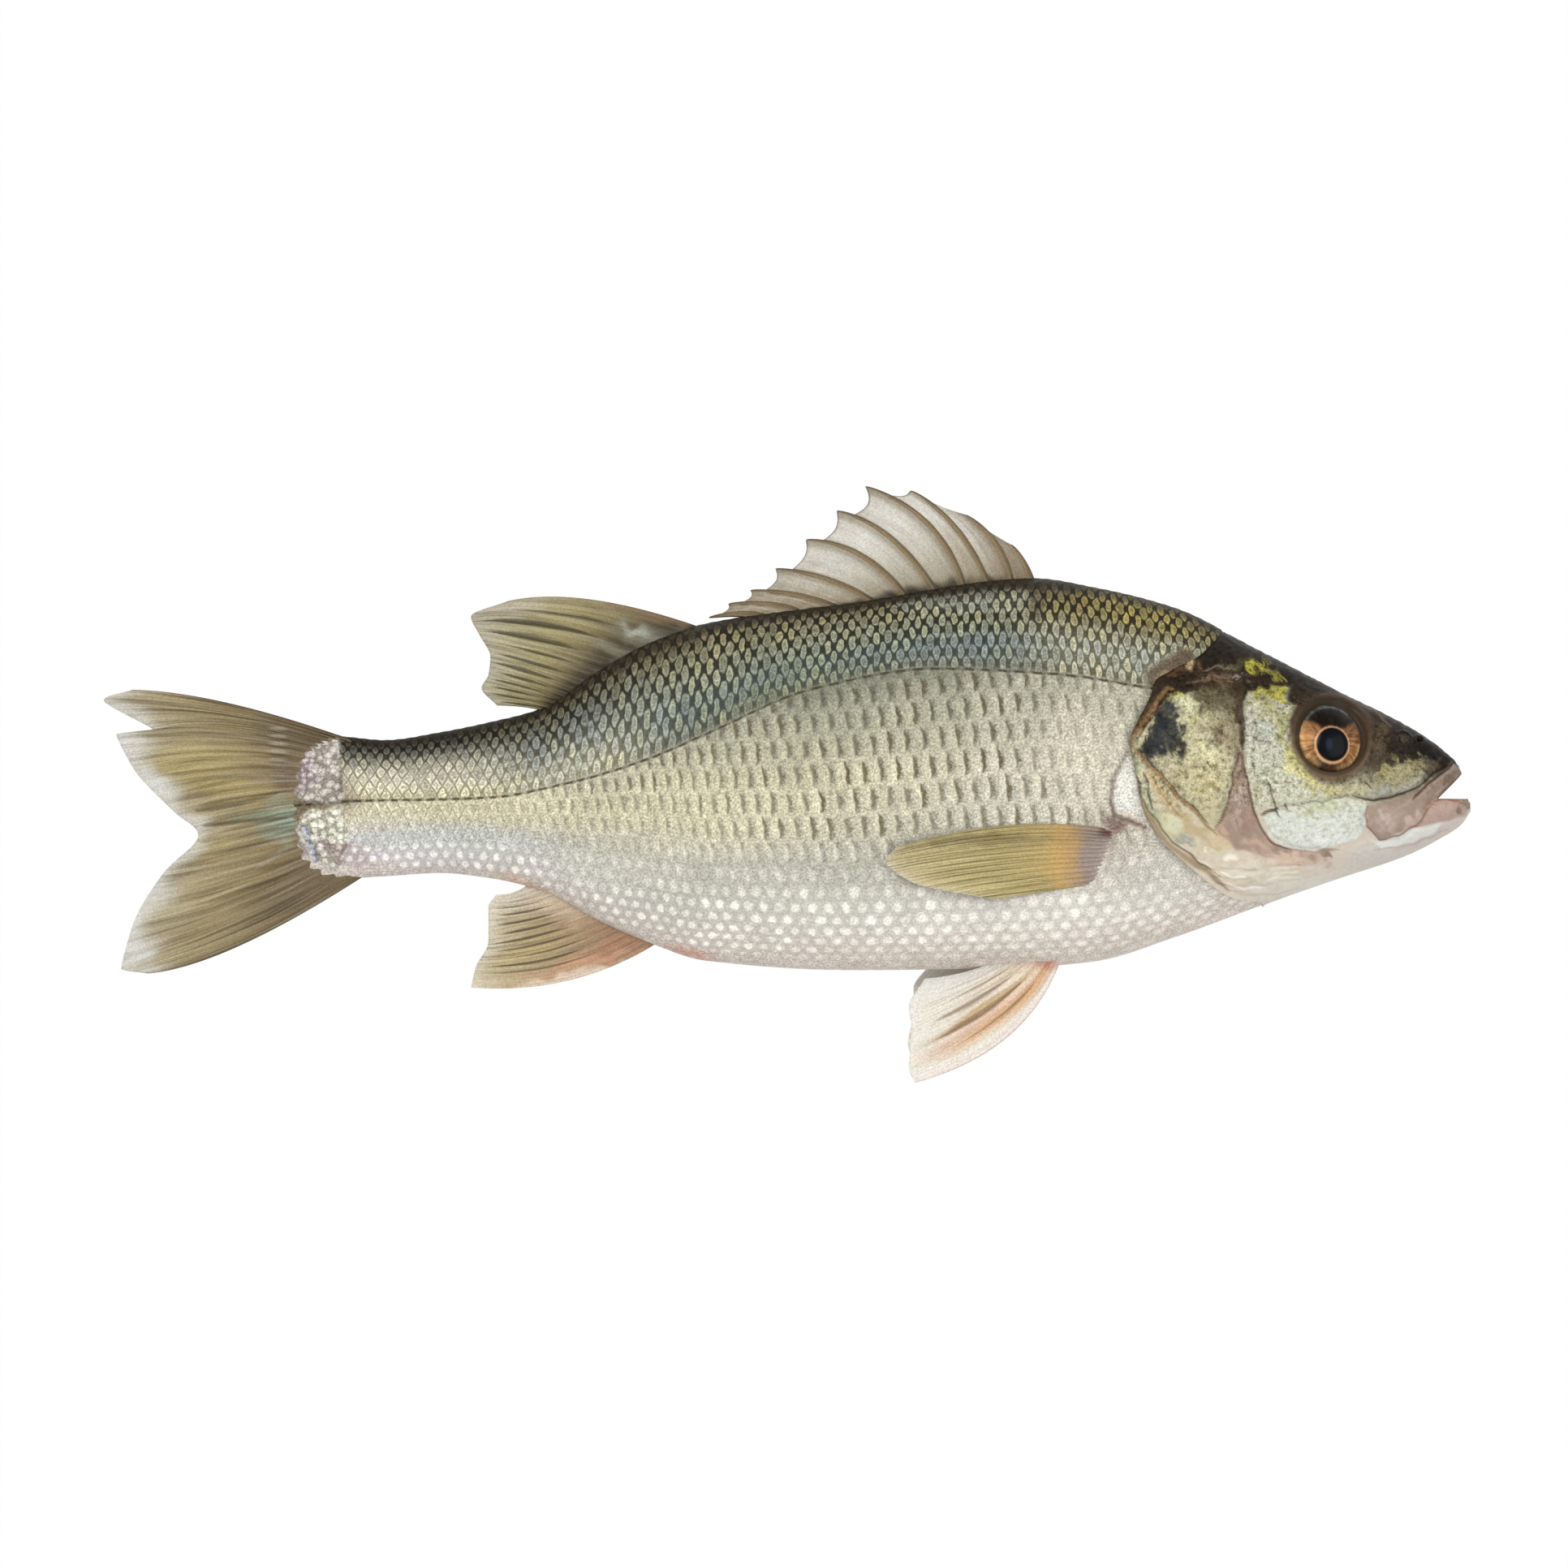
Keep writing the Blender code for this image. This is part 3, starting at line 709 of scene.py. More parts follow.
    # fine silver skin over the tail's root, in two lobes
    upperLobe = area(qx, py, ((416, 900), (392, 908), (364, 930), (354, 960), (360, 984), (384, 990), (416, 990)), 3)
    lowerLobe = area(qx, qy, (
        (414, 996), (384, 998), (366, 1012), (368, 1036), (384, 1056), (406, 1070), (424, 1062), (420, 1020),
    ), 4)
    lobes = np.clip(upperLobe + lowerLobe, 0, 1)
    root = smoothStep(470, 395, px + 0.9 * np.abs(py - 985)) * (1 - lobes)
    lay(paint, np.clip(root, 0, 1), (118, 102, 80), 0.95)
    lay(gap, np.clip(root, 0, 1), (96, 82, 62), 0.95)
    lay(paint, upperLobe, (196, 190, 182), 0.9)
    lay(paint, lowerLobe, (220, 222, 204), 0.9)
    layBlobs(paint, qx, qy, (
        ((424, 1052), (44, 16), 18, (172, 154, 156), 0.8, 0.6),
        ((372, 945), (14, 34), 0, (172, 156, 166), 0.6, 0.7),
    ))
    # painted shade on the lobes' rounded rear edges
    lay(paint, lobes * smoothStep(376, 360, px + 0.4 * np.abs(py - 990)), (92, 78, 74), 0.6)
    lay(paint, stroke(px, py, ((360, 990), (400, 989), (440, 987)), 6, 0.8, 0.1), (104, 98, 88), 0.7)
    lay(paint, stroke(px, py, ((416, 906), (417, 988)), 4, 0.8, 0.1), (104, 94, 78), 0.7)
    lay(paint, blob(qx, qy, (385, 898), (34, 9), -12, 0.7), (104, 88, 70), 0.7)
    for k in range(5):
        lay(paint, blob(px, py, (372 + 3.2 * k, 1022 + 9 * k), (5, 4), 30, 0.4), (150, 158, 186), 0.8)
        lay(paint, stroke(px, py, (
            (366 + 3.2 * k, 1018 + 9 * k), (378 + 3.2 * k, 1016 + 9 * k),
        ), 2, 0.8, 0), (70, 70, 84), 0.7)
    ovals = smoothStep(0.0, 0.05, over) * (1 - lobes) * (1 - 0.8 * shoulder) * (1 - root)
    nearLine = hill(aboveLine, 0, 60) * smoothStep(620, 780, px)
    reach = np.maximum(smoothStep(700, 1020, px), nearLine) * (1 - 0.75 * smoothStep(1240, 1400, px)) * (1 - chest)
    # where the flank's painted dash shadows go, with their painted shade and highlight
    dashShadowZone = (
        smoothStep(-2, 6, -aboveLine) * smoothStep(1100, 1030, py) * (1 - lobes) * (1 - inWedge)
        * (0.3 + 0.7 * reach) * (1 - root)
    )
    # pearly white spots on the belly and the stalk's lower side: painted highlights
    pearlHighlights = (0.42 * smoothStep(1020, 1065, py) + 0.58 * smoothStep(1080, 1120, py)) * (1 - lobes) * (1 - 0.7 * bare)
    stalkWhite = smoothStep(0.76, 0.82, s) * (1 - bare) * smoothStep(700, 600, px) * (1 - lobes)
    pearlHighlights = np.clip(pearlHighlights + stalkWhite, 0, 1) * (1 - root)
    zones = np.stack([
        ovals, dashShadowZone, pearlHighlights, np.clip(1 - lobes - inWedge - shoulder - root, 0, 1) * (1 - 0.85 * bare),
    ], -1)
    lineAway = np.clip(-aboveLine / 80 + 0.5, 0, 1)
    return paint, gap, zones, lineAway, lobes


def buildTrunk():
    piece, share, angle, pole = addSphere("trunkSkin", trunk["segments"], trunk["rings"])
    angle = crowdUpper(angle, trunk["upperShare"])
    bend = share - 0.035 * np.sin(2 * math.pi * share)  # rings a little closer at both ends
    x = trunk["tail"] + (trunk["front"] - trunk["tail"]) * bend
    y = skinPoint(x, angle)[:, 1]
    u, v = scalePlace(x, angle)
    backU, backV = backScalePlace(x, y)
    ahead = x - seamX(y)
    nape = smoothStep(napeFrom, napeTo, y)
    throat = smoothStep(-0.8, -1.0, np.sin(angle))
    sink = (
        smoothStep(-0.2, 1.0, ahead) * (trunk["sinkAtGill"] * (1 - nape) + trunk["sinkAtNape"] * nape)
        * (1 - 0.9 * throat)
        + 0.12 * np.maximum(ahead, 0) * (1 - 0.8 * throat)
    )
    paint, gap, zones, lineAway, lobes = trunkPaint(x, y, angle)
    above = smoothStep(0.47, 0.53, 1 - lineAway)
    relief = dashHeight(u, v) * (1 - above) + ovalHeight(backU, backV) * above
    relief = scales["height"] * zones[:, 3] * (relief - 0.5) * smoothStep(0, -1.5, ahead)
    relief += 0.3 * lobes * smoothStep(-100.5, -97, x)
    points = skinPoint(x, angle, relief - sink)
    centre = section(x)[0]
    points[pole] = np.stack([x[pole], centre[pole], midplane(x[pole])], -1)
    points[:, 2] = np.maximum(points[:, 2], floorGap)
    shapePiece(piece, points)
    writeColour(piece, "skinPaint", paint)
    writeColour(piece, "gapPaint", gap)
    writeColour(piece, "skinZones", zones)
    net = smoothStep(trunk["netTo"], trunk["netTo"] - 24, x) * smoothStep(0.8, 0.45, overLine(x, y))
    writeColour(piece, "linePlace", np.stack([lineAway, lobes, net], -1))
    writeMap(piece, "scaleMap", u, v)
    writeMap(piece, "backMap", backU, backV, clear=False)
    return piece


def withAlpha(paint, alpha):
    return np.concatenate([paint, np.clip(alpha, 0, 1)[:, None]], 1)


def trunkMaterial():
    material, shader = newMaterial("wetScales", 0.45, coat=0.03, coatRoughness=0.2, specular=0.07)
    paint = attribute("skinPaint").outputs["Color"]
    gap = attribute("gapPaint").outputs["Color"]
    zoneNode = attribute("skinZones")
    zone = addNode("SeparateColor", {0: zoneNode.outputs["Color"]})
    ovals, dashShadowZone, pearlHighlights, scaly = zone.outputs[0], zone.outputs[1], zone.outputs[2], zoneNode.outputs["Alpha"]
    linePlace = addNode("SeparateColor", {0: attribute("linePlace").outputs["Color"]})
    lineSide, lobes, net = linePlace.outputs[0], linePlace.outputs[1], linePlace.outputs[2]
    place = objectPlace()
    fine = noise(place, trunk["fineNoise"], 2.0, 0.6)
    mottle = noise(place, trunk["mottleNoise"], 3.0, 0.6)
    mottleSwing = minus(mottle, 0.5)
    fineSwing = minus(fine, 0.5)
    # over the lateral line: tall light ovals with dark gaps at their sides
    halfLength, halfHeight = scales["oval"]
    wobbled = plus(product(mottleSwing, 1.1), product(fineSwing, 0.9))
    warp = addNode(
        "SeparateColor",
        {0: addNode("TexNoise", {"Vector": place, "Scale": trunk["warpNoise"], "Detail": 1.0}).outputs["Color"]},
    )
    backCells = []
    for along, down, number in cellNodes("backMap", warp, 0.4)[0]:
        # diamonds that meet on the tail's stalk, ovals with gaps between them on the body
        diamond = plus(absolute(divided(along, 0.5)), absolute(down))
        along, down = divided(along, halfLength), divided(down, halfHeight)
        square = plus(product(along, along), product(down, down))
        square = addNode("Mix", {0: net, 2: square, 3: product(diamond, diamond, 1.1)}, data_type="FLOAT").outputs[0]
        luck = addNode("TexWhiteNoise", {"Vector": number}, noise_dimensions="3D")
        # each oval a little larger or smaller than the next
        backCells.append((
            product(square, scaled(luck.outputs["Value"], 0.5, 0.85)), luck.outputs["Value"], luck.outputs["Color"],
        ))
    nearer = maths("LESS_THAN", backCells[1][0], backCells[0][0])
    away = plus(maths("MINIMUM", backCells[0][0], backCells[1][0]), wobbled)
    chance = addNode("Mix", {0: nearer, 2: backCells[0][1], 3: backCells[1][1]}, data_type="FLOAT").outputs[0]
    tone = addNode("SeparateColor", {0: mixed(nearer, backCells[0][2], backCells[1][2])})
    own = dimmed(paint, scaled(chance, 0.5, 0.76))
    # some scales a little warmer, some a little bluer
    for channel, share, tint in ((0, 0.34, (255, 244, 200)), (1, 0.26, (226, 238, 255))):
        amount = product(maths("GREATER_THAN", tone.outputs[channel], 0.7), scaled(net, -share, share))
        own = mixed(amount, own, flat(tint), "MULTIPLY")
    rim = product(ramp(away, 0.2, 0.5), ramp(away, 0.9, 0.6))
    own = dimmed(own, scaled(rim, 0.42, 0.94))
    backSkin = mixed(product(ramp(away, 0.65, 1.15), 0.98), own, gap)
    # under it: one leaning dark dash on each scale, a painted shadow in the pocket at the scale's edge, sharp behind
    # and fading in front
    flankCells, u = cellNodes("scaleMap", warp, 0.34)
    along2, down2, number2 = flankCells[0]
    luck = addNode("TexWhiteNoise", {"Vector": number2}, noise_dimensions="3D").outputs["Value"]
    flank = dimmed(paint, scaled(luck, 0.14, 0.93))
    # the dash bends like the scale's own edge
    lean = scaled(down2, -scales["lean"], scaled(product(down2, down2), 0.16, along2))
    wobble = plus(lean, plus(product(mottleSwing, 0.26), product(fineSwing, 0.22)))
    tall = minus(1.0, maths("POWER", absolute(divided(down2, scaled(luck, 0.1, 0.42))), 1.7))
    tall = maths("MAXIMUM", tall, -0.2)
    dashShadow = product(ramp(wobble, -0.06, 0.02), ramp(minus(wobble, product(tall, 0.24)), 0.12, -0.1))
    dashShadow = product(dashShadow, ramp(tall, -0.1, 0.4), dashShadowZone, scaled(luck, 0.4, 0.5))
    # painted shade, bluish, in front of it, and a painted highlight on the ridge behind it
    ahead = product(
        ramp(wobble, 0.0, 0.12), ramp(wobble, 0.5, 0.2), ramp(tall, -0.1, 0.6), dashShadowZone,
        scaled(mottleSwing, 1.2, 0.66),
    )
    flank = mixed(ahead, flank, flat((176, 178, 184)), "MULTIPLY")
    # painted highlight along the ridge
    ridge = product(ramp(wobble, -0.42, -0.2), ramp(wobble, 0.0, -0.1), ramp(tall, -0.2, 0.5), dashShadowZone)
    flank = dimmed(flank, scaled(ridge, 0.12, 1.0))
    dashShadowColour = mixed(product(maths("GREATER_THAN", luck, 0.6), 0.6), gap, flat((92, 78, 44)))
    flank = mixed(dashShadow, flank, dashShadowColour)
    # thin net of scale edges under the line on the stalk
    diamonds = [plus(absolute(divided(a, 0.5)), absolute(d)) for a, d, _ in flankCells]
    netLine = ramp(plus(maths("MINIMUM", *diamonds), product(mottleSwing, 0.5)), 0.78, 0.98)
    flank = mixed(product(netLine, net, 0.42), flank, gap)
    # pearly white spots on the belly: a painted highlight on each scale's centre
    spotAlong, spotDown = divided(along2, 0.34), divided(down2, 0.42)
    spotAway = plus(product(spotAlong, spotAlong), product(spotDown, spotDown))
    pearlHighlight = minus(1.0, ramp(scaled(mottleSwing, 2.6, spotAway), 0.2, 1.05))
    pearlHighlight = product(pearlHighlight, pearlHighlights, scaled(luck, 0.6, 0.4))
    flank = mixed(pearlHighlight, flank, flat((246, 243, 234)))
    belowTone = product(ramp(spotAway, 0.9, 2.2), pearlHighlights, 0.3)
    flank = mixed(belowTone, flank, flat((186, 183, 178)))
    above = ramp(lineSide, 0.53, 0.47)
    colour = mixed(product(above, ovals), flank, backSkin)
    # fine silver scales over the tail's root
    cells = addNode("TexVoronoi", {"Vector": objectPlace((0.8, 1, 1)), "Scale": trunk["silverScales"]})
    lobeSkin = mixed(ramp(cells.outputs["Distance"], 0.4, 0.66), flat((255, 252, 250)), flat((158, 148, 144)))
    lobeSkin = mixed(0.85, paint, lobeSkin, "MULTIPLY")
    glint = minus(1.0, ramp(cells.outputs["Distance"], 0.1, 0.36))
    lobeSkin = mixed(product(glint, 0.5), lobeSkin, flat((240, 236, 230)))
    cellTone = addNode("SeparateColor", {0: cells.outputs["Color"]})
    lobeSkin = dimmed(lobeSkin, scaled(cellTone.outputs[0], 0.34, 0.84))
    colour = mixed(product(lobes, 0.9), colour, lobeSkin)
    # thin uneven lateral line
    lineAway = absolute(scaled(mottleSwing, 0.03, minus(lineSide, 0.5)))
    line = minus(1.0, ramp(lineAway, 0.008, 0.034))
    line = product(line, minus(1.0, lobes), ramp(maths("SINE", product(u, 2 * math.pi)), -1.0, 0.4, 0.45, 0.9))
    colour = mixed(line, colour, flat((58, 50, 36)))
    # fine speckle of the wet skin, with painted glints where the mottle is high
    grain = ramp(fine, 0.28, 0.72, 0.64, 1.34)
    colour = mixed(scaled(pearlHighlights, -0.45, 1.0), colour, grey(grain), "MULTIPLY")
    glintSparkle = ramp(mottle, 0.54, 0.7, 1.0, 1.26)
    colour = dimmed(colour, glintSparkle)
    speck = product(ramp(mottle, 0.45, 0.3), 0.34)
    colour = mixed(speck, colour, gap)
    drive(shader, "Base Color", colour)
    drive(shader, "Roughness", ramp(mottle, 0.25, 0.75, 0.36, 0.58))
    backStep = product(minus(1.0, away), above)
    flankStep = product(dashShadow, -1.0)
    edge = product(plus(product(backStep, 0.4), product(flankStep, 0.5)), scaly)
    bump(shader, plus(edge, product(fine, 0.4)), 0.0001, 0.8)
    return material


trunkPiece = buildTrunk()
finishPiece(trunkPiece, trunkMaterial())
print("trunk done")


# head
head = {
    "segments": 300,
    "rings": 330,
    "upperShare": 0.72,
    "snout": 140.0,
    "capCentre": (90.0, 2.0),
    "lipRise": 0.55,
    # rows of the turned-in rear edge: share of the way to the middle, mm forward, mm raised
    "tuck": (
        (1.0, 6, -2.5), (0.45, 6, -2.5), (0.0, 5, -1.6), (0.0, 2.5, -1.1), (0.0, 1.0, -0.9), (0.0, 0.35, -0.7),
        (0.0, 0.05, -0.35), (0.0, 0.0, 0.0), (0.0, 0.1, 0.3),
    ),
    "eyeCentre": (110.75, 9.6),
    "mouthCut": ((132.8, -3.0), (138.4, 2.4), (146.0, 9.6), (146.0, -3.1)),
    "gillRaise": 0.75,
    "jawRaise": 0.5,
    "cutFrom": -5,
    "cutTo": 45,
    "fineNoise": 2400.0,
    "mottleNoise": 1000.0,
    "broadNoise": 260.0,
}
gillCover = onFish((
    (1443, 850), (1423, 868), (1387, 917), (1391.6, 936), (1402.5, 992.5), (1424, 1030), (1449, 1052),
    (1480.6, 1077), (1502, 1090), (1530, 1092), (1560, 1080), (1552, 1052), (1534, 1030), (1524, 985), (1520, 932),
    (1520, 890), (1500, 866), (1470, 856),
))
opercle = onFish((
    (1446, 854), (1424, 870), (1390, 915), (1420, 950), (1458, 992), (1492, 1019), (1506, 985), (1521, 930),
    (1519, 880), (1490, 858),
))
upperJaw = onFish((
    (1800, 944), (1768, 972), (1752, 1006), (1722, 1033), (1698, 1034), (1680, 1018), (1682, 1000), (1696, 990),
    (1740, 980), (1770, 958), (1786, 944),
))
preopercleBand = onFish((
    (1522, 926), (1510, 985), (1498, 1024), (1520, 1048), (1560, 1052), (1600, 1062), (1640, 1058), (1640, 1050),
    (1592, 1048), (1560, 1036), (1546, 1008), (1534, 972),
))
cheekPatch = onFish((
    (1551, 1008), (1574, 998), (1606, 995), (1648, 986), (1676, 988), (1682, 1008), (1668, 1034), (1632, 1048),
    (1590, 1045), (1563, 1031),
))
lachrymal = onFish((
    (1600, 958), (1620, 975), (1657, 985), (1693, 987), (1729, 979), (1762, 956), (1740, 934), (1710, 930),
    (1690, 958), (1650, 976),
))
lowerJaw = onFish(((1746, 992), (1770, 985), (1806, 985), (1815, 992), (1808, 1006), (1770, 1024), (1720, 1040)))
preopercleRear = onFish(((1522, 922), (1511, 976), (1499, 1024)))
preopercleFront = onFish(((1524, 926), (1536, 975), (1547, 1010), (1562, 1034), (1592, 1047), (1640, 1049)))
cheekLine = onFish((
    (1551, 1006), (1574, 996), (1610, 992), (1650, 984), (1693, 987), (1729, 980), (1762, 957), (1792, 938),
))
nostrils = onFish(((1728, 911), (1749, 912)))
throatRays = [onFish(((1480 + 8 * k, 1066 + 9 * k), (1520, 1074 + 8 * k), (1600, 1066 + 6 * k))) for k in range(4)]


def solveSeam(angle):
    # where the skin's own column crosses the head's rear edge
    x = np.full(angle.shape, 82.0)
    for _ in range(60):
        y = skinPoint(x, angle)[:, 1]
        x = 0.5 * x + 0.5 * seamX(y)
    return x


# outline, how far it is raised, and the step from inside to outside its edge, in mm
headForms = (
    (gillCover, head["gillRaise"], -1.2, 0.6), (opercle, 0.45, -1.6, 0.3), (cheekPatch, 0.35, -2.0, 0.5),
    (preopercleBand, -0.3, -2.0, 0.4), (lachrymal, 0.3, -1.5, 0.5),
)
# line, depth and width in mm, softness
headGrooves = (
    (preopercleFront, 0.4, 1.8, 0.8), (preopercleRear, 0.35, 1.6, 0.8), (cheekLine, 0.45, 1.6, 0.9),
    (onFish(((1539, 966), (1543, 1008))), 0.3, 1.0, 0.8), (onFish(((1557, 964), (1572, 1008))), 0.3, 1.0, 0.8),
    *((line, 0.35, 1.2, 0.9) for line in throatRays),
)
# centre and radii in pixels, turn
wetFolds = (
    ((1461, 1033), (13, 6), 42), ((1512, 1056), (8, 6), 20), ((1470, 1048), (10, 4), 40),
    ((1520, 1074), (20, 4), 8), ((1556, 1086), (18, 4), -4), ((1540, 1096), (22, 3.5), 4),
)


def headRelief(x, y):
    relief = np.zeros(x.shape)
    for outline, rise, low, high in headForms:
        relief += rise * smoothStep(high, low, edgeDistance(x, y, outline))
    for line, depth, width, soft in headGrooves:
        relief -= depth * stroke(x, y, line, width, soft)
    for centre, radii, turn in wetFolds:
        relief += 0.5 * blob(x, y, onFish(centre), (radii[0] * pixel, radii[1] * pixel), -turn, 0.9)
    jawAway = edgeDistance(x, y, upperJaw)
    relief += head["jawRaise"] * smoothStep(0.3, -1.4, jawAway)
    relief -= 0.4 * hill(jawAway, 0.5, 0.5)
    relief += 0.35 * smoothStep(0.4, -1.2, edgeDistance(x, y, lowerJaw))
    for centre, radius in zip(nostrils, (1.7, 0.9)):
        far = np.hypot(x - centre[0], (y - centre[1]) * 1.2)
        relief += 0.35 * hill(far, radius, 0.45) - 0.9 * smoothStep(radius * 0.85, radius * 0.35, far)
    # eye socket with a raised rim
    far = np.hypot(x - head["eyeCentre"][0], y - head["eyeCentre"][1])
    relief = relief * smoothStep(6.8, 9.0, far)
    relief += 0.3 * hill(far, 8.0, 0.8)
    relief -= 1.3 * smoothStep(7.6, 6.6, far)
    # lips round over into the mouth
    cut = edgeDistance(x, y, head["mouthCut"])
    relief -= 1.1 * np.maximum(0, 1 - np.maximum(cut, 0) / 1.1) ** 2
    relief += 0.35 * hill(cut, 1.9, 0.9) * smoothStep(131, 134, x)
    # uneven skin
    relief += (
        0.07 * np.sin(x * 2.1 + 1.7 * np.sin(y * 1.3)) * np.sin(y * 2.4 + 1.3 * np.sin(x * 0.9))
        * smoothStep(6.8, 9.4, far)
    )
    return relief


def headPaint(x, y, level):
    px, py = inPhoto(x, y)
    s = (1 - level) / 2
    qx, qy = waver(px, py, 4.5, 24, 11)
    fx, fy = waver(qx, qy, 2.5, 7, 13)
    rx, ry = waver(px, py, 1.2, 30, 12)
    crown = colourCurve((
        (0, (28, 24, 19)), (0.1, (38, 31, 23)), (0.24, (52, 42, 31)), (0.36, (84, 73, 53)), (0.48, (180, 174, 146)),
        (0.62, (196, 188, 162)), (0.78, (210, 198, 180)), (0.92, (210, 198, 181)), (1, (200, 188, 172)),
    ))
    snout = colourCurve((
        (0, (27, 23, 20)), (0.2, (40, 34, 27)), (0.38, (66, 56, 44)), (0.52, (150, 144, 120)),
        (0.7, (196, 186, 172)), (0.88, (212, 206, 198)), (1, (196, 184, 170)),
    ))
    w = smoothStep(1620, 1720, px)[:, None]
    paint = crown(s) * (1 - w) + snout(s) * w

    # cheek and gill cover first, then the brown mask over them
    lay(paint, area(qx, qy, (
        (1532, 850), (1590, 846), (1586, 890), (1594, 940), (1614, 968), (1650, 984), (1640, 1000), (1560, 1010),
        (1546, 1004), (1528, 930),
    ), 5), (190, 188, 166), 0.95)
    lay(paint, area(qx, qy, (
        (1448, 856), (1424, 870), (1390, 915), (1420, 950), (1458, 992), (1492, 1019), (1506, 985), (1521, 930),
        (1519, 880), (1490, 858),
    ), 4), (180, 174, 142), 0.95)
    layBlobs(paint, fx, fy, (
        ((1490, 812), (74, 26), -28, (38, 31, 24), 0.92, 0.4),
        ((1555, 844), (46, 6), 8, (48, 38, 29), 0.9, 0.5),
        ((1612, 868), (30, 26), 30, (50, 40, 31), 0.92, 0.5),
        ((1700, 886), (50, 28), 30, (44, 36, 28), 0.88, 0.5),
        ((1772, 926), (40, 16), 36, (24, 20, 17), 0.9, 0.5),
        ((1698, 912), (12, 30), 14, (96, 82, 64), 0.7, 0.7),
        ((1560, 786), (90, 12), 28, (27, 23, 20), 0.88, 0.5),
        ((1680, 846), (80, 9), 28, (34, 30, 27), 0.85, 0.5),
        ((1500, 846), (30, 12), -6, (72, 60, 43), 0.8, 0.6),
        ((1494, 866), (30, 18), 8, (104, 97, 73), 0.85, 0.5),
        ((1478, 862), (14, 8), 20, (88, 80, 58), 0.6, 0.6),
        ((1452, 826), (26, 10), -20, (84, 62, 44), 0.9, 0.5),
        ((1462, 820), (7, 5), 20, (184, 164, 126), 0.8, 0.5),
        ((1496, 832), (26, 5), -6, (128, 104, 86), 0.6, 0.6),
        ((1528, 834), (14, 3.5), 6, (168, 156, 144), 0.6, 0.6),
        # yellow-green patches
        ((1548, 822), (24, 9), 16, (132, 126, 58), 0.85, 0.6),
        ((1544, 821), (15, 5), 14, (170, 164, 66), 0.8, 0.5),
        ((1568, 832), (9, 5), 26, (138, 130, 58), 0.8, 0.4),
        ((1512, 824), (14, 8), 0, (96, 90, 64), 0.6, 0.6),
        ((1562, 856), (26, 11), 6, (150, 144, 64), 0.9, 0.45),
        ((1578, 858), (12, 8), 34, (164, 158, 66), 0.8, 0.4),
        ((1556, 874), (15, 12), 0, (146, 142, 92), 0.7, 0.6),
        ((1576, 896), (10, 24), -8, (146, 142, 84), 0.75, 0.6),
        ((1586, 930), (12, 16), -20, (184, 176, 104), 0.75, 0.6),
        ((1604, 956), (24, 10), 38, (202, 194, 128), 0.8, 0.6),
        ((1634, 972), (28, 7), 12, (196, 188, 134), 0.7, 0.6),
        ((1552, 905), (13, 26), 0, (174, 178, 166), 0.75, 0.6),
        ((1556, 950), (20, 16), 0, (184, 186, 166), 0.7, 0.6),
        ((1584, 982), (30, 12), 4, (190, 192, 170), 0.7, 0.6),
        # gill cover: pale crest, brown smudge, cream field with darker streaks
        ((1452, 866), (16, 7), 28, (206, 204, 166), 0.9, 0.5),
        ((1462, 878), (12, 12), 10, (200, 198, 160), 0.85, 0.6),
        ((1448, 856), (10, 4), 20, (178, 172, 80), 0.8, 0.4),
        ((1472, 888), (10, 12), -10, (180, 174, 128), 0.6, 0.6),
        ((1496, 901), (20, 12), 6, (98, 82, 62), 0.85, 0.6),
        ((1510, 884), (12, 16), 0, (112, 100, 78), 0.7, 0.6),
        ((1512, 916), (8, 14), 6, (132, 112, 90), 0.6, 0.6),
        ((1478, 930), (22, 14), 14, (204, 198, 158), 0.8, 0.6),
        ((1494, 952), (12, 24), 14, (200, 192, 152), 0.7, 0.6),
        ((1470, 966), (20, 18), 36, (192, 183, 142), 0.7, 0.6),
        ((1484, 992), (12, 18), 12, (198, 188, 150), 0.7, 0.6),
        ((1443, 952), (16, 8), 42, (152, 140, 104), 0.6, 0.7),
        ((1462, 945), (5, 14), -36, (150, 138, 104), 0.55, 0.7),
        ((1476, 950), (4, 18), -30, (158, 146, 110), 0.5, 0.7),
        ((1490, 975), (3, 20), -20, (162, 148, 112), 0.5, 0.7),
        ((1500, 960), (3, 20), 4, (160, 148, 112), 0.5, 0.7),
        ((1440, 972), (6, 10), -40, (176, 160, 116), 0.5, 0.7),
    ))
    # blue-black blot, ragged
    blot = (
        (1424, 862), (1437, 866), (1446, 880), (1442, 894), (1452, 894), (1458, 902), (1456, 912), (1459, 926),
        (1452, 933), (1442, 926), (1434, 932), (1420, 937), (1409, 938), (1399, 927), (1404, 912), (1414, 901),
        (1418, 888),
    )
    lay(paint, area(fx, fy, blot, 3.5), (34, 37, 42), 0.93)
    layBlobs(paint, fx, fy, (
        ((1450, 917), (5, 6), 0, (58, 54, 44), 0.6, 0.6),
        ((1446, 904), (5, 5), 30, (120, 118, 104), 0.6, 0.6),
        ((1428, 893), (7, 16), 20, (34, 38, 46), 0.8, 0.6),
        ((1416, 918), (12, 12), 0, (34, 36, 42), 0.8, 0.6),
        ((1440, 880), (5, 8), -10, (70, 74, 78), 0.5, 0.6),
        ((1414, 944), (8, 6), 30, (120, 112, 98), 0.6, 0.7),
        # under the eye and along the snout
        ((1722, 954), (38, 15), -20, (160, 152, 116), 0.85, 0.5),
        ((1706, 946), (16, 9), -30, (166, 157, 108), 0.7, 0.6),
        ((1738, 940), (20, 8), -10, (150, 142, 108), 0.7, 0.6),
        ((1744, 962), (24, 8), -28, (178, 174, 156), 0.8, 0.6),
        ((1700, 975), (38, 6), -6, (158, 159, 148), 0.85, 0.6),
        ((1664, 974), (24, 6), 6, (182, 178, 142), 0.7, 0.6),
        ((1768, 946), (14, 6), -36, (90, 80, 64), 0.7, 0.6),
    ))
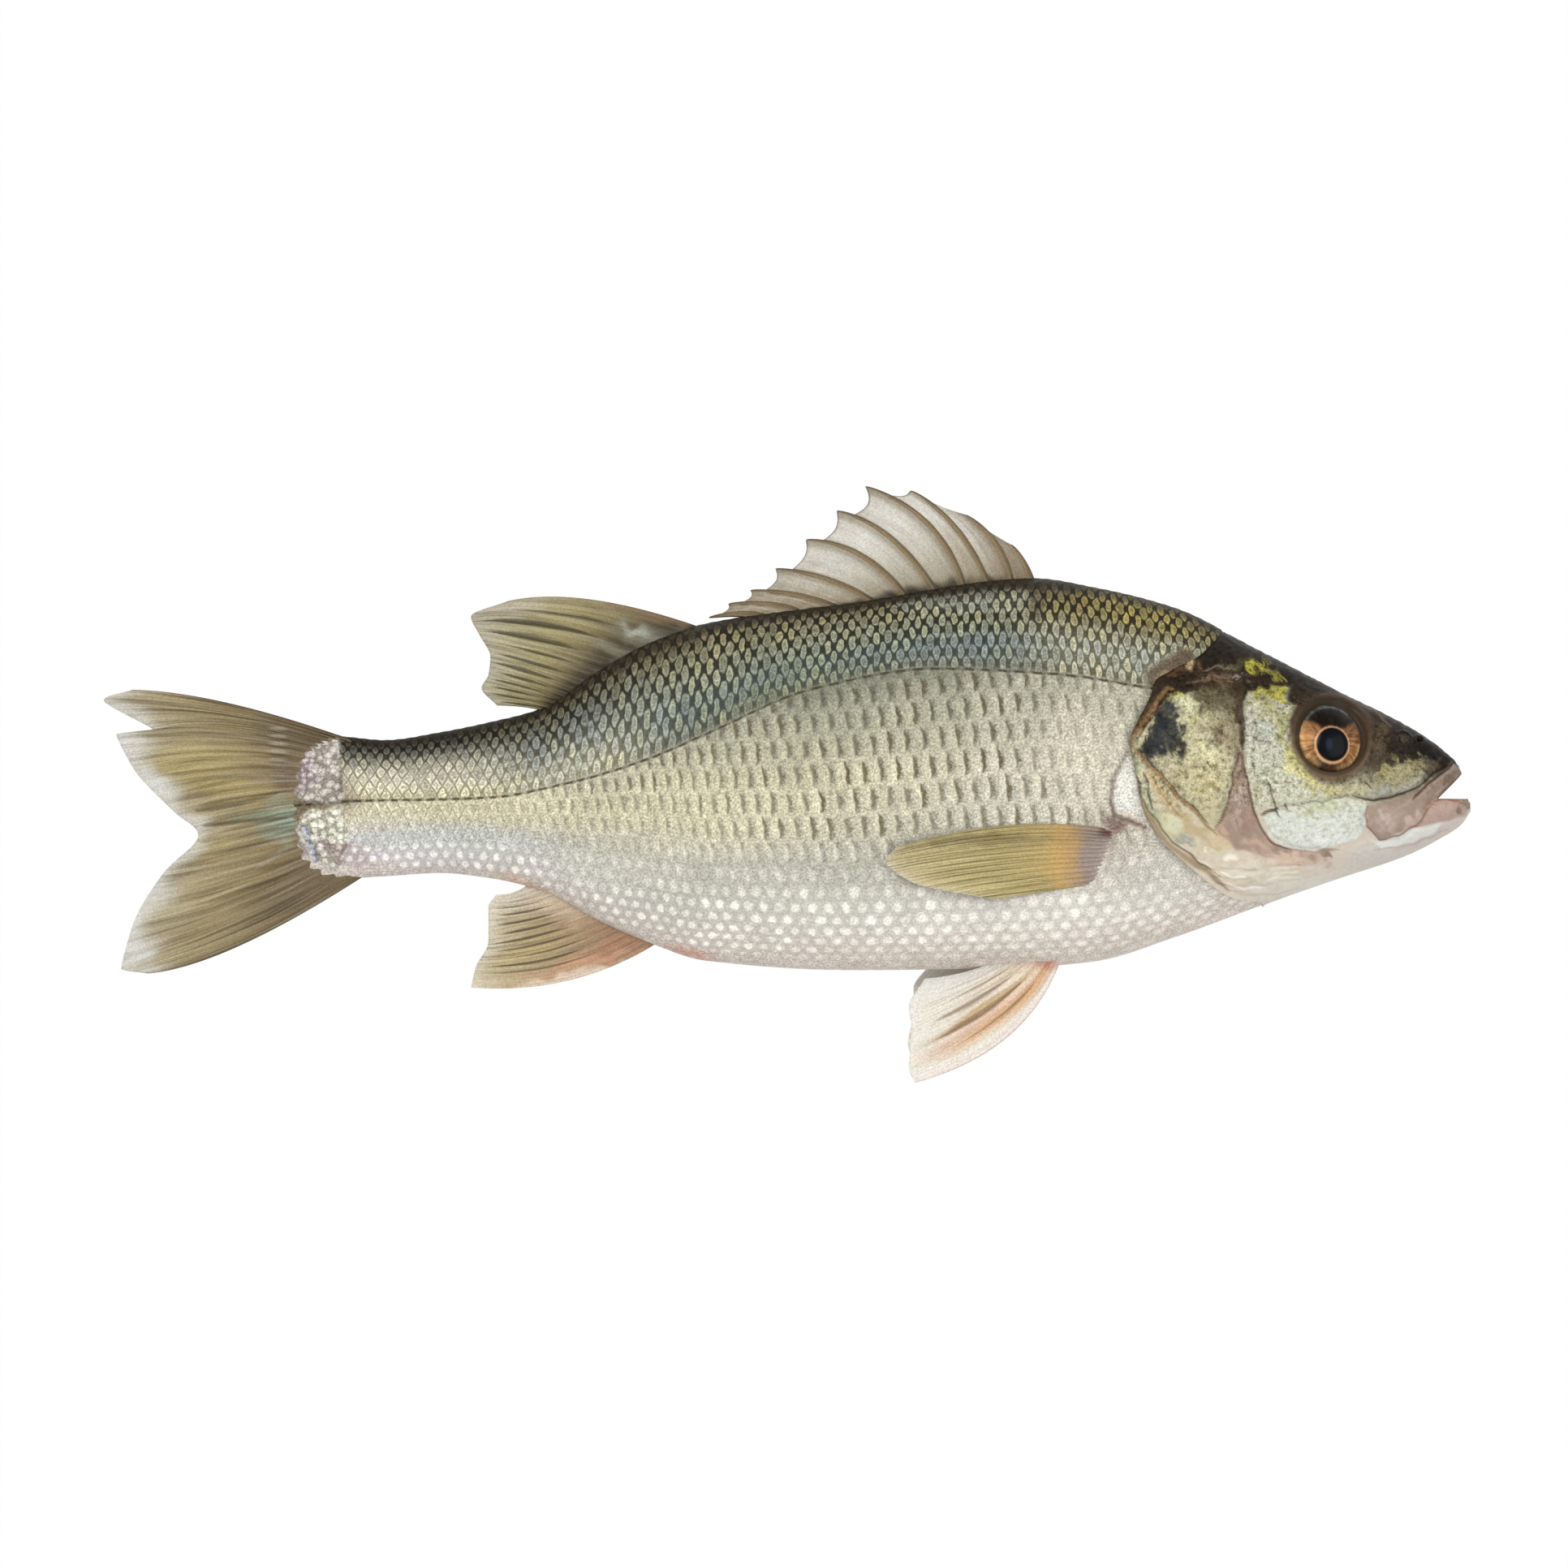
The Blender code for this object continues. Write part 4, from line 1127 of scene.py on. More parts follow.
    # membrane between the gill cover and its edge, and the wet folds under it
    lay(paint, stroke(
        qx, qy, ((1392, 930), (1400, 965), (1414, 1000), (1436, 1032)), 13, 0.7, 0.1,
    ), (170, 170, 142), 0.85)
    lay(paint, stroke(
        qx, qy, ((1408, 945), (1430, 984), (1462, 1020), (1496, 1046)), 15, 0.7, 0.1,
    ), (180, 160, 120), 0.8)
    lay(paint, stroke(qx, qy, ((1424, 1004), (1446, 1030), (1480, 1056)), 20, 0.8, 0.1), (198, 190, 150), 0.8)
    lay(paint, stroke(
        qx, qy, ((1452, 1040), (1490, 1062), (1540, 1082), (1580, 1086)), 34, 0.8, 0.1,
    ), (206, 196, 174), 0.8)
    layBlobs(paint, fx, fy, (
        ((1456, 1033), (11, 7), 10, (138, 144, 142), 0.75, 0.6),
        ((1440, 1016), (10, 8), 40, (206, 206, 180), 0.7, 0.6),
        ((1530, 1034), (26, 14), 8, (206, 182, 156), 0.8, 0.7),
        ((1500, 1036), (14, 10), 40, (204, 180, 140), 0.7, 0.7),
    ))
    # reddish wedge behind the cheek, and the tan band under the cheek
    lay(paint, area(rx, ry, (
        (1524, 922), (1514, 952), (1510, 982), (1501, 1006), (1494, 1022), (1520, 1046), (1560, 1056), (1604, 1066),
        (1640, 1066), (1636, 1049), (1592, 1047), (1567, 1040), (1552, 1025), (1542, 1002), (1534, 974),
        (1529, 944),
    ), 3), (152, 130, 118), 0.9)
    layBlobs(paint, fx, fy, (
        ((1523, 988), (5, 34), 3, (194, 176, 164), 0.75, 0.7),
        ((1522, 945), (4, 18), 0, (124, 98, 86), 0.8, 0.7),
        ((1532, 1012), (9, 16), -16, (160, 124, 110), 0.55, 0.8),
        ((1504, 1018), (6, 14), 20, (198, 166, 140), 0.7, 0.7),
        ((1590, 1058), (40, 9), 3, (212, 188, 166), 0.9, 0.8),
        ((1546, 1040), (20, 9), 20, (204, 176, 154), 0.7, 0.7),
        ((1552, 1074), (56, 12), 4, (222, 214, 196), 0.85, 0.8),
        ((1640, 1064), (50, 9), -10, (211, 196, 182), 0.8, 0.7),
        ((1700, 1052), (64, 12), -15, (202, 196, 190), 0.85, 0.7),
        ((1600, 1090), (80, 14), -12, (214, 210, 198), 0.85, 0.8),
    ))
    lay(paint, area(px, py, ((1530, 880), (1541, 880), (1540, 927), (1531, 926)), 2), (184, 182, 168), 0.85)
    # white lower cheek: its lower edge is clean, its upper edge fades into freckles
    white = area(rx, ry, (
        (1552, 1008), (1570, 996), (1606, 988), (1648, 984), (1678, 988), (1684, 1006), (1670, 1033), (1636, 1046),
        (1604, 1047), (1576, 1041), (1560, 1027),
    ), 2)
    lay(paint, white, (210, 213, 203), 0.95)
    lay(paint, white * blob(fx, fy, (1632, 994), (46, 11), -4, 0.7), (190, 192, 160), 0.8)
    lay(paint, white * blob(fx, fy, (1580, 1010), (26, 10), -8, 0.8), (198, 200, 190), 0.6)
    lay(paint, white * blob(px, py, (1640, 1034), (40, 9), -8, 0.9), (226, 226, 220), 0.7)
    # jaws
    lay(paint, area(rx, ry, (
        (1806, 950), (1784, 972), (1764, 988), (1748, 1012), (1722, 1032), (1700, 1034), (1682, 1018), (1681, 994),
        (1700, 988), (1740, 978), (1770, 956), (1790, 940),
    ), 2.5), (154, 134, 120), 0.93)
    layBlobs(paint, fx, fy, (
        ((1708, 1010), (20, 14), -30, (184, 165, 154), 0.85, 0.7),
        ((1726, 1000), (16, 8), -34, (164, 140, 128), 0.7, 0.7),
        ((1790, 958), (20, 7), -42, (112, 98, 84), 0.85, 0.6),
        ((1802, 952), (6, 6), 0, (126, 112, 98), 0.7, 0.6),
    ))
    lay(paint, area(rx, ry, (
        (1746, 1006), (1766, 987), (1806, 985), (1816, 993), (1810, 1004), (1780, 1012), (1752, 1018), (1720, 1030),
    ), 2.5), (176, 150, 137), 0.93)
    layBlobs(paint, fx, fy, (
        ((1776, 998), (26, 6), -4, (188, 164, 152), 0.75, 0.7),
        ((1808, 992), (9, 7), -14, (126, 110, 90), 0.9, 0.6),
        ((1740, 1012), (12, 8), -30, (206, 186, 174), 0.6, 0.7),
        ((1760, 992), (12, 4), -30, (150, 112, 92), 0.7, 0.7),
    ))
    lay(paint, area(rx, ry, (
        (1688, 1036), (1712, 1030), (1740, 1020), (1776, 1015), (1768, 1027), (1738, 1038), (1704, 1046),
    ), 2), (220, 221, 213), 0.92)
    lay(paint, stroke(rx, ry, ((1716, 1048), (1760, 1034), (1806, 1006)), 9, 0.8, 0.2), (196, 186, 180), 0.75)
    layStrokes(paint, rx, ry, (
        ((
            (1387, 920), (1391, 957), (1400, 987), (1413, 1012), (1431, 1035), (1452, 1053), (1476, 1066),
            (1490, 1080), (1512, 1098),
        ), 8, (150, 128, 98), 0.85),
        (((1391, 940), (1400, 978), (1416, 1008), (1440, 1036), (1466, 1056), (1500, 1080)), 2.6, (84, 72, 54), 0.8),
        (((1385, 924), (1388, 957), (1397, 990), (1411, 1016), (1430, 1039)), 2.4, (98, 84, 64), 0.7),
        (((1444, 850), (1434, 848), (1418, 872), (1402, 894), (1388, 916)), 7, (132, 102, 66), 0.85),
        (((1448, 856), (1436, 858), (1421, 877), (1406, 898), (1392, 916)), 2.6, (70, 50, 34), 0.8),
        (((1436, 842), (1416, 866), (1398, 890), (1385, 912)), 2.6, (88, 70, 52), 0.75),
        ((
            (1389, 920), (1406, 937), (1424, 954), (1444, 980), (1464, 997), (1482, 1015), (1496, 1028),
        ), 5, (138, 108, 68), 0.8),
        (((1392, 921), (1408, 935), (1427, 953), (1447, 979), (1467, 996), (1485, 1014)), 2.6, (78, 56, 38), 0.85),
        (((1404, 950), (1409, 972), (1417, 998)), 3.4, (62, 70, 60), 0.85),
        (((1412, 952), (1432, 986), (1452, 1008)), 2.4, (146, 112, 68), 0.6),
        (((1508, 768), (1480, 800), (1448, 816), (1424, 832), (1414, 842)), 7, (40, 31, 24), 0.8),
        (((1430, 846), (1452, 836), (1490, 826), (1520, 830), (1560, 840), (1596, 846)), 5, (50, 38, 29), 0.85),
        (((1458, 842), (1490, 838), (1516, 842)), 3, (116, 92, 72), 0.6),
        (((1478, 826), (1500, 822), (1520, 826)), 2.4, (150, 130, 112), 0.5),
        (((1526, 852), (1524, 885), (1526, 924)), 7, (72, 56, 44), 0.9),
        (((1524, 924), (1515, 950), (1510, 982), (1501, 1007), (1491, 1022)), 3.6, (92, 74, 58), 0.9),
        ((
            (1526, 924), (1529, 944), (1535, 975), (1543, 1003), (1553, 1025), (1568, 1040), (1590, 1047),
        ), 3.6, (96, 74, 62), 0.92),
        (((1590, 1047), (1620, 1049), (1650, 1046)), 3, (158, 138, 122), 0.7),
        (((1514, 1000), (1518, 1016), (1526, 1028)), 2.2, (150, 108, 92), 0.6),
        (((1541, 884), (1542, 905), (1541, 926), (1533, 928)), 2, (96, 88, 74), 0.7),
        (((1537, 938), (1542, 958)), 2.4, (92, 86, 64), 0.7),
        (((1557, 962), (1562, 980), (1572, 1008)), 2.8, (70, 62, 46), 0.85),
        (((1550, 1005), (1558, 999), (1572, 996)), 4.6, (84, 54, 38), 0.95),
        (((1572, 996), (1590, 998)), 3, (150, 104, 66), 0.5),
        (((1578, 990), (1584, 996)), 3, (58, 52, 38), 0.85),
        (((1592, 992), (1622, 988), (1660, 980)), 2.2, (88, 82, 60), 0.7),
        ((
            (1660, 980), (1678, 985), (1702, 984), (1725, 978), (1749, 969), (1766, 953), (1791, 936),
        ), 3, (46, 38, 30), 0.95),
        (((1738, 986), (1760, 966), (1793, 940)), 3, (62, 48, 38), 0.9),
        (((1770, 964), (1790, 946)), 2.2, (150, 134, 116), 0.6),
        (((1772, 978), (1788, 966), (1804, 954)), 2.6, (84, 70, 58), 0.6),
        (((1681, 990), (1681, 1018), (1698, 1033), (1720, 1030), (1744, 1017), (1766, 988)), 3, (140, 104, 88), 0.85),
        # painted highlights on the maxilla
        (((1698, 996), (1702, 1010)), 7, (206, 192, 182), 0.45),
        (((1710, 1002), (1706, 1016)), 5, (208, 194, 184), 0.4),
        (((1716, 998), (1736, 984)), 4, (186, 166, 152), 0.4),
        (((1764, 987), (1780, 986), (1800, 987)), 3, (158, 96, 66), 0.8),
        (((1690, 1048), (1740, 1040), (1790, 1020)), 2.4, (172, 154, 142), 0.5),
        (((1678, 962), (1686, 972)), 2.2, (52, 46, 36), 0.85),
        (((1640, 974), (1643, 980)), 2.2, (60, 54, 40), 0.7),
        (((1746, 944), (1760, 952)), 3, (60, 50, 38), 0.6),
        (((1629, 1055), (1635, 1051), (1638, 1056)), 4, (150, 124, 110), 0.8),
        (((1636, 1060), (1634, 1070)), 6, (186, 164, 150), 0.5),
        (((1622, 856), (1660, 860), (1700, 880), (1714, 896)), 3.4, (104, 88, 72), 0.6),
        (((1630, 846), (1680, 866), (1720, 884)), 5, (52, 44, 37), 0.6),
        # painted highlights: white glints on the wet skin under the gill cover and on the throat
        (((1482, 1042), (1481, 1050)), 4.5, (242, 238, 224), 0.8),
        (((1504, 1058), (1514, 1053), (1520, 1058)), 7, (240, 234, 214), 0.8),
        (((1500, 1072), (1514, 1080), (1534, 1080)), 3, (244, 240, 230), 0.75),
        (((1508, 1088), (1530, 1094), (1556, 1092)), 3.4, (242, 238, 230), 0.7),
        (((1560, 1084), (1578, 1078)), 3, (240, 236, 228), 0.6),
        (((1470, 1056), (1490, 1070)), 3, (228, 218, 196), 0.6),
        (((1496, 1066), (1520, 1070), (1548, 1072)), 2.2, (176, 158, 138), 0.5),
        (((1516, 1100), (1560, 1104), (1600, 1094)), 2.2, (184, 172, 158), 0.5),
    ))
    # small dark freckles on the cheek and the gill cover
    freckle = np.random.default_rng(5)
    spots = [
        (1532, 1680, 860, 1000, 150, (96, 90, 62)), (1425, 1518, 870, 1012, 130, (132, 120, 84)),
        (1600, 1680, 986, 1010, 36, (150, 150, 120)), (1690, 1765, 936, 980, 60, (96, 88, 66)),
    ]
    for left, right, top, low, count, colour in spots:
        for _ in range(count):
            centre = (freckle.uniform(left, right), freckle.uniform(top, low))
            size = freckle.uniform(1.0, 2.6)
            lay(paint, blob(px, py, centre, (size, size * 0.8), 0, 0.8), colour, 0.5)
    # skin round the eye
    eyeX, eyeY = inPhoto(*head["eyeCentre"])
    far = np.hypot(px - eyeX, (py - eyeY) * 0.95)
    ring = smoothStep(60, 47, far + 3 * np.sin(np.arctan2(py - eyeY, px - eyeX) * 3))
    lay(paint, ring, (84, 67, 50), 0.88)
    lay(paint, ring * smoothStep(0, 50, eyeY - py), (46, 38, 30), 0.7)
    lay(paint, hill(far, 45, 2.2), (58, 46, 36), 0.6)
    lay(paint, hill(far, 49, 2.0) * smoothStep(-10, 30, py - eyeY), (120, 100, 72), 0.5)
    lay(paint, smoothStep(44, 40, far), (62, 50, 38), 1.0)
    away = np.hypot((px - 1728) / 15, (py - 911) / 11)
    lay(paint, hill(away, 0.85, 0.2), (40, 32, 26), 0.85)
    lay(paint, smoothStep(0.7, 0.3, away), (92, 80, 66), 0.7)
    layBlobs(paint, px, py, (
        ((1724, 914), (4, 2.5), 30, (44, 36, 30), 0.9, 0.6),
        ((1749, 912), (4.5, 8), -30, (34, 28, 23), 0.9, 0.6),
    ))
    # dark cut faces inside the mouth
    within = smoothStep(0.35, -0.05, edgeDistance(x, y, head["mouthCut"]))
    lay(paint, within, (120, 72, 54), 0.9)
    # rough grain on the scaly cheek, the gill cover and the crown, smooth jaws and throat
    grain = smoothStep(1020, 970, py + 0.15 * np.maximum(px - 1560, 0))
    grain = np.maximum(grain * smoothStep(1790, 1760, px) * (1 - 0.6 * white), 0.3 * white)
    grain *= smoothStep(46, 54, far)
    return withAlpha(paint, 0.12 + 0.88 * grain)


def buildHead():
    piece, share, angle, pole = addSphere("headSkin", head["segments"], head["rings"])
    angle = crowdUpper(angle, head["upperShare"])
    row = np.rint(share * head["rings"]).astype(int)
    tuckRows = len(head["tuck"])
    edgeX = solveSeam(angle)
    edgeY = skinPoint(edgeX, angle)[:, 1]
    nape = smoothStep(napeFrom, napeTo, edgeY)
    outer = np.clip((row - tuckRows) / (head["rings"] - tuckRows), 0, 1)
    outer = 0.72 * outer + 0.28 * np.sin(outer * math.pi / 2)  # rings closer at the snout
    x = edgeX + 0.3 + (head["snout"] - edgeX - 0.3) * outer
    y = skinPoint(x, angle)[:, 1]
    behind = x - seamX(y)
    lip = (head["lipRise"] * (1 - nape) - 0.15 * nape) * smoothStep(9.0, 0.0, behind)
    lip -= nape * 0.5 * smoothStep(0.8, 0, behind)
    relief = headRelief(x, y) * smoothStep(0.0, 1.5, behind)
    gillAt = head["gillRaise"] * (1 - nape) * smoothStep(1.5, 0.0, behind)
    throat = smoothStep(-0.8, -1.0, np.sin(angle))  # the edge runs out smoothly under the throat
    raised = (relief + lip + gillAt) * (1 - 0.85 * throat)
    inward = np.zeros(x.shape)
    for i, (inTo, forward, drop) in enumerate(head["tuck"]):
        here = row == i
        x[here] = edgeX[here] + forward
        raised[here] = (
            drop
            + (head["lipRise"] + head["gillRaise"]) * (1 - nape[here]) * (1 - 0.85 * throat[here])
            * smoothStep(-1.2, 0.3, drop)
            - 0.5 * nape[here]
        )
        inward[here] = inTo
    points = skinPoint(x, angle, raised)
    middle = np.array([*head["capCentre"], midplane(head["capCentre"][0])])
    points = points * (1 - inward)[:, None] + middle * inward[:, None]
    snoutPole = pole & (share > 0.5)
    points[snoutPole] = (head["snout"], section(head["snout"])[0], midplane(head["snout"]))
    points[:, 2] = np.maximum(points[:, 2], floorGap)
    shapePiece(piece, points)
    # the open mouth is cut right through
    cutter = added("mouthCutter", bpy.ops.mesh.primitive_cube_add, size=1)
    corners = readPoints(cutter)
    for (cx, cy), to in zip(((-0.5, -0.5), (-0.5, 0.5), (0.5, 0.5), (0.5, -0.5)), head["mouthCut"]):
        at = (np.abs(corners[:, 0] - cx) < 0.1) & (np.abs(corners[:, 1] - cy) < 0.1)
        corners[at, :2] = to
    corners[:, 2] = np.where(corners[:, 2] > 0, head["cutTo"], head["cutFrom"])
    shapePiece(cutter, corners)
    selectOnly(piece)
    opening = piece.modifiers.new("mouth", "BOOLEAN")
    opening.operation = "DIFFERENCE"
    opening.solver = "MANIFOLD"
    opening.object = cutter
    bpy.ops.object.modifier_apply(modifier="mouth")
    bpy.data.objects.remove(cutter)
    points = readPoints(piece) / mm
    x, y = points[:, 0], points[:, 1]
    widest, high = section(x)[:2]
    writeColour(piece, "skinPaint", headPaint(x, y, np.clip((y - widest) / high, -1, 1)))
    return piece


def headMaterial():
    material, shader = newMaterial("wetHeadSkin", 0.4, coat=0.05, coatRoughness=0.14, specular=0.06)
    paintNode = attribute("skinPaint")
    paint, rough = paintNode.outputs["Color"], paintNode.outputs["Alpha"]
    place = objectPlace()
    fine = noise(place, head["fineNoise"], 2.0, 0.6)
    mottle = noise(place, head["mottleNoise"], 3.0, 0.6)
    broad = noise(place, head["broadNoise"], 3.0, 0.6, 0.6)

    def shadeBy(colour, value, low, high, amount):
        # a noise that shades most where the skin is rough
        swing = product(ramp(value, low, high, -amount, amount), rough)
        return dimmed(colour, plus(swing, 1.0))

    colour = shadeBy(paint, fine, 0.3, 0.7, 0.26)
    colour = shadeBy(colour, mottle, 0.32, 0.68, 0.24)
    colour = mixed(product(ramp(mottle, 0.46, 0.32), rough, 0.7), colour, flat((182, 176, 150)), "MULTIPLY")
    colour = mixed(product(ramp(broad, 0.52, 0.7), rough, 0.6), colour, flat((206, 200, 170)), "MULTIPLY")
    drive(shader, "Base Color", colour)
    drive(shader, "Roughness", ramp(mottle, 0.25, 0.75, 0.3, 0.5))
    height = plus(product(mottle, 0.7), product(fine, 0.3))
    bump(shader, product(height, rough), 0.0002, 0.7)
    return material


headPiece = buildHead()
finishPiece(headPiece, headMaterial())
print("head done")


# fins
def fanCurve(rays, across, along, smooth):
    # a point of the fan: rays are root, middle and tip, each a quadratic through its middle
    rays = np.asarray(rays, float)
    handle = 2 * rays[:, 1] - (rays[:, 0] + rays[:, 2]) / 2
    knots = (rays[:, 0], handle, rays[:, 2])
    count = np.arange(len(rays))
    parts = []
    for points in knots:
        if smooth:
            parts.append(np.stack([smoothCurve(count, points[:, i])(across) for i in (0, 1)], -1))
        else:
            parts.append(np.stack([np.interp(across, count, points[:, i]) for i in (0, 1)], -1))
    t = along[:, None]
    return parts[0] * (1 - t) ** 2 + parts[1] * 2 * t * (1 - t) + parts[2] * t * t


def finHeights(style):
    # mm: how high the fin's middle lies, from its root to its edge
    if style == "upperPelvic":
        return lambda x, y, along: midplane(x) + 4.2 - 3.4 * along**1.5
    if style == "lowerPelvic":
        return lambda x, y, along: midplane(x) - 4.2 - 5.6 * along**1.5
    if style == "upperPectoral":
        return lambda x, y, along: midplane(x) + flankRise(x, y) - 0.5 + 2.3 * along**1.5
    if style == "lowerPectoral":
        return lambda x, y, along: np.maximum(midplane(x) - flankRise(x, y) + 0.5 - 2.3 * along**1.5, 0.8)
    return lambda x, y, along: midplane(x) - 0.9 * along**2


def finThickness(along, rootHalf, edgeHalf):
    return rootHalf * (1 - along) ** 1.5 + edgeHalf * (1 - (1 - along) ** 1.5)


def buildFin(name, fin, columns, rows, painter):
    piece, across, along, side = addSheet(name, columns, rows)
    rays = fin["rays"]
    last = len(rays) - 1
    place = fanCurve(rays, across * last, along, fin.get("smooth", True))
    x, y = place[:, 0], place[:, 1]
    middle = finHeights(fin["height"])(x, y, along)
    # ridges: one for each ray, splitting in two and then four towards the edge
    turn = across * fin["rayCount"] * 2 * math.pi
    once, twice, four = np.cos(turn), np.cos(2 * turn), np.cos(4 * turn)
    split, splitAgain = smoothStep(0.3, 0.55, along), smoothStep(0.6, 0.9, along)
    ridge = once * (1 - split) + twice * split * (1 - splitAgain) + four * split * splitAgain
    ridge = ridge * fin["ridge"] * (1 - 0.5 * along) * smoothStep(0.0, 0.08, along)
    half = finThickness(along, fin["rootHalf"], fin["edgeHalf"]) * (1 + ridge)
    if "Pectoral" in fin["height"]:
        half = half * (0.3 + 0.7 * smoothStep(0.0, 0.12, along))  # its root comes smoothly out of the flank
    rim = np.minimum(np.minimum(across, 1 - across) * last / 0.25, (1 - along) / 0.03)
    half = half * (0.35 + 0.65 * np.sqrt(np.clip(rim, 0, 1)))
    ripple = fin.get("ripple", 0.0) * np.sin(across * 9 + along * 3.0) * along**1.5
    z = np.maximum(middle + ripple, half + 0.05) + side * half
    points = np.stack([x, y, z], -1)
    shapePiece(piece, points)
    writeMap(piece, "finMap", across * fin["rayCount"], along)
    writeColour(piece, "finPaint", painter(*inPhoto(x, y), across, along))
    return piece


finSkin = {
    "wanderNoise": 90.0,
    "grainNoise": 2600.0,
    "streaks": ((2.1, 1.2), (5.0, 1.8), (11.0, 2.6)),  # for each ray, along the fin
}


def finMaterial(name, streak, streakColour, spindle=0.0, spindlePlace=(0.5, 0.3), spindleWidth=0.2):
    material, shader = newMaterial(name, 0.42, coat=0.08, coatRoughness=0.2, specular=0.16)
    paintNode = attribute("finPaint")
    paint, marked = paintNode.outputs["Color"], paintNode.outputs["Alpha"]
    split = addNode("SeparateXYZ", {0: addNode("UVMap", uv_map="finMap").outputs[0]})
    across, along = split.outputs[0], split.outputs[1]
    place = objectPlace()
    wander = minus(noise(place, finSkin["wanderNoise"], 2.0), 0.5)
    acrossBent = scaled(wander, 0.16, across)

    def streaks(frequency, length):
        vector = addNode("CombineXYZ", {0: product(acrossBent, frequency), 1: product(along, length)}).outputs[0]
        return noise(vector, 1.0, 1.0, 0.5)

    coarse, fine, finest = (streaks(*fineness) for fineness in finSkin["streaks"])
    late = ramp(along, 0.3, 0.7)
    wide = product(ramp(coarse, 0.52, 0.68), marked, streak, scaled(late, -0.4, 1.0))
    colour = mixed(wide, paint, flat(streakColour))
    colour = mixed(product(ramp(fine, 0.52, 0.66), marked, streak * 0.75), colour, flat(streakColour))
    colour = mixed(product(ramp(finest, 0.52, 0.7), marked, streak * 0.35, late), colour, flat(streakColour))
    colour = mixed(product(ramp(fine, 0.46, 0.3), marked, 0.16), colour, flat((222, 212, 182)))
    if spindle:
        # one long dark mark on each ray, thickest at its middle
        ray = maths("FLOOR", acrossBent)
        luck = addNode("TexWhiteNoise", {"W": ray}, noise_dimensions="1D").outputs["Value"]
        centre = scaled(luck, 0.16, spindlePlace[0] - 0.08)
        far = divided(minus(along, centre), spindlePlace[1])
        width = product(minus(1.0, product(far, far)), scaled(luck, 0.6, 0.5), spindleWidth)
        cross = absolute(minus(maths("FRACT", scaled(minus(finest, 0.5), 0.3, acrossBent)), 0.5))
        mark = ramp(minus(width, cross), -0.06, 0.1)
        colour = mixed(product(mark, marked, spindle), colour, flat([c * 0.82 for c in streakColour]))
    grain = ramp(noise(place, finSkin["grainNoise"], 3.0, 0.6), 0.3, 0.7, 0.84, 1.16)
    colour = dimmed(colour, grain)
    drive(shader, "Base Color", colour)
    bump(shader, plus(coarse, plus(product(fine, 0.6), product(finest, 0.3))), 0.0003, 0.8)
    return material


tailFin = {
    "rays": (
        ((-86.0, 8.2), (-113.0, 16.4), (-134.0, 19.4)), ((-88.0, 8.0), (-114.0, 14.8), (-140.0, 17.2)),
        ((-91.0, 7.4), (-112.0, 12.2), (-129.8, 11.2)), ((-92.4, 6.0), (-113.0, 10.2), (-137.4, 10.2)),
        ((-93.0, 3.0), (-112.0, 5.2), (-133.4, 2.6)), ((-93.2, -1.0), (-109.0, -2.4), (-125.4, -5.6)),
        ((-93.2, -5.0), (-107.0, -7.6), (-120.3, -10.6)), ((-93.0, -9.6), (-109.0, -14.6), (-127.6, -18.4)),
        ((-92.0, -13.8), (-110.0, -21.8), (-133.8, -28.6)), ((-89.0, -16.6), (-110.0, -28.2), (-136.4, -37.9)),
        ((-84.0, -17.6), (-111.0, -32.9), (-130.8, -39.0)),
    ),
    "height": "middle",
    "rayCount": 19,
    "ridge": 0.22,
    "rootHalf": 1.25,
    "edgeHalf": 0.3,
    "ripple": 0.25,
}


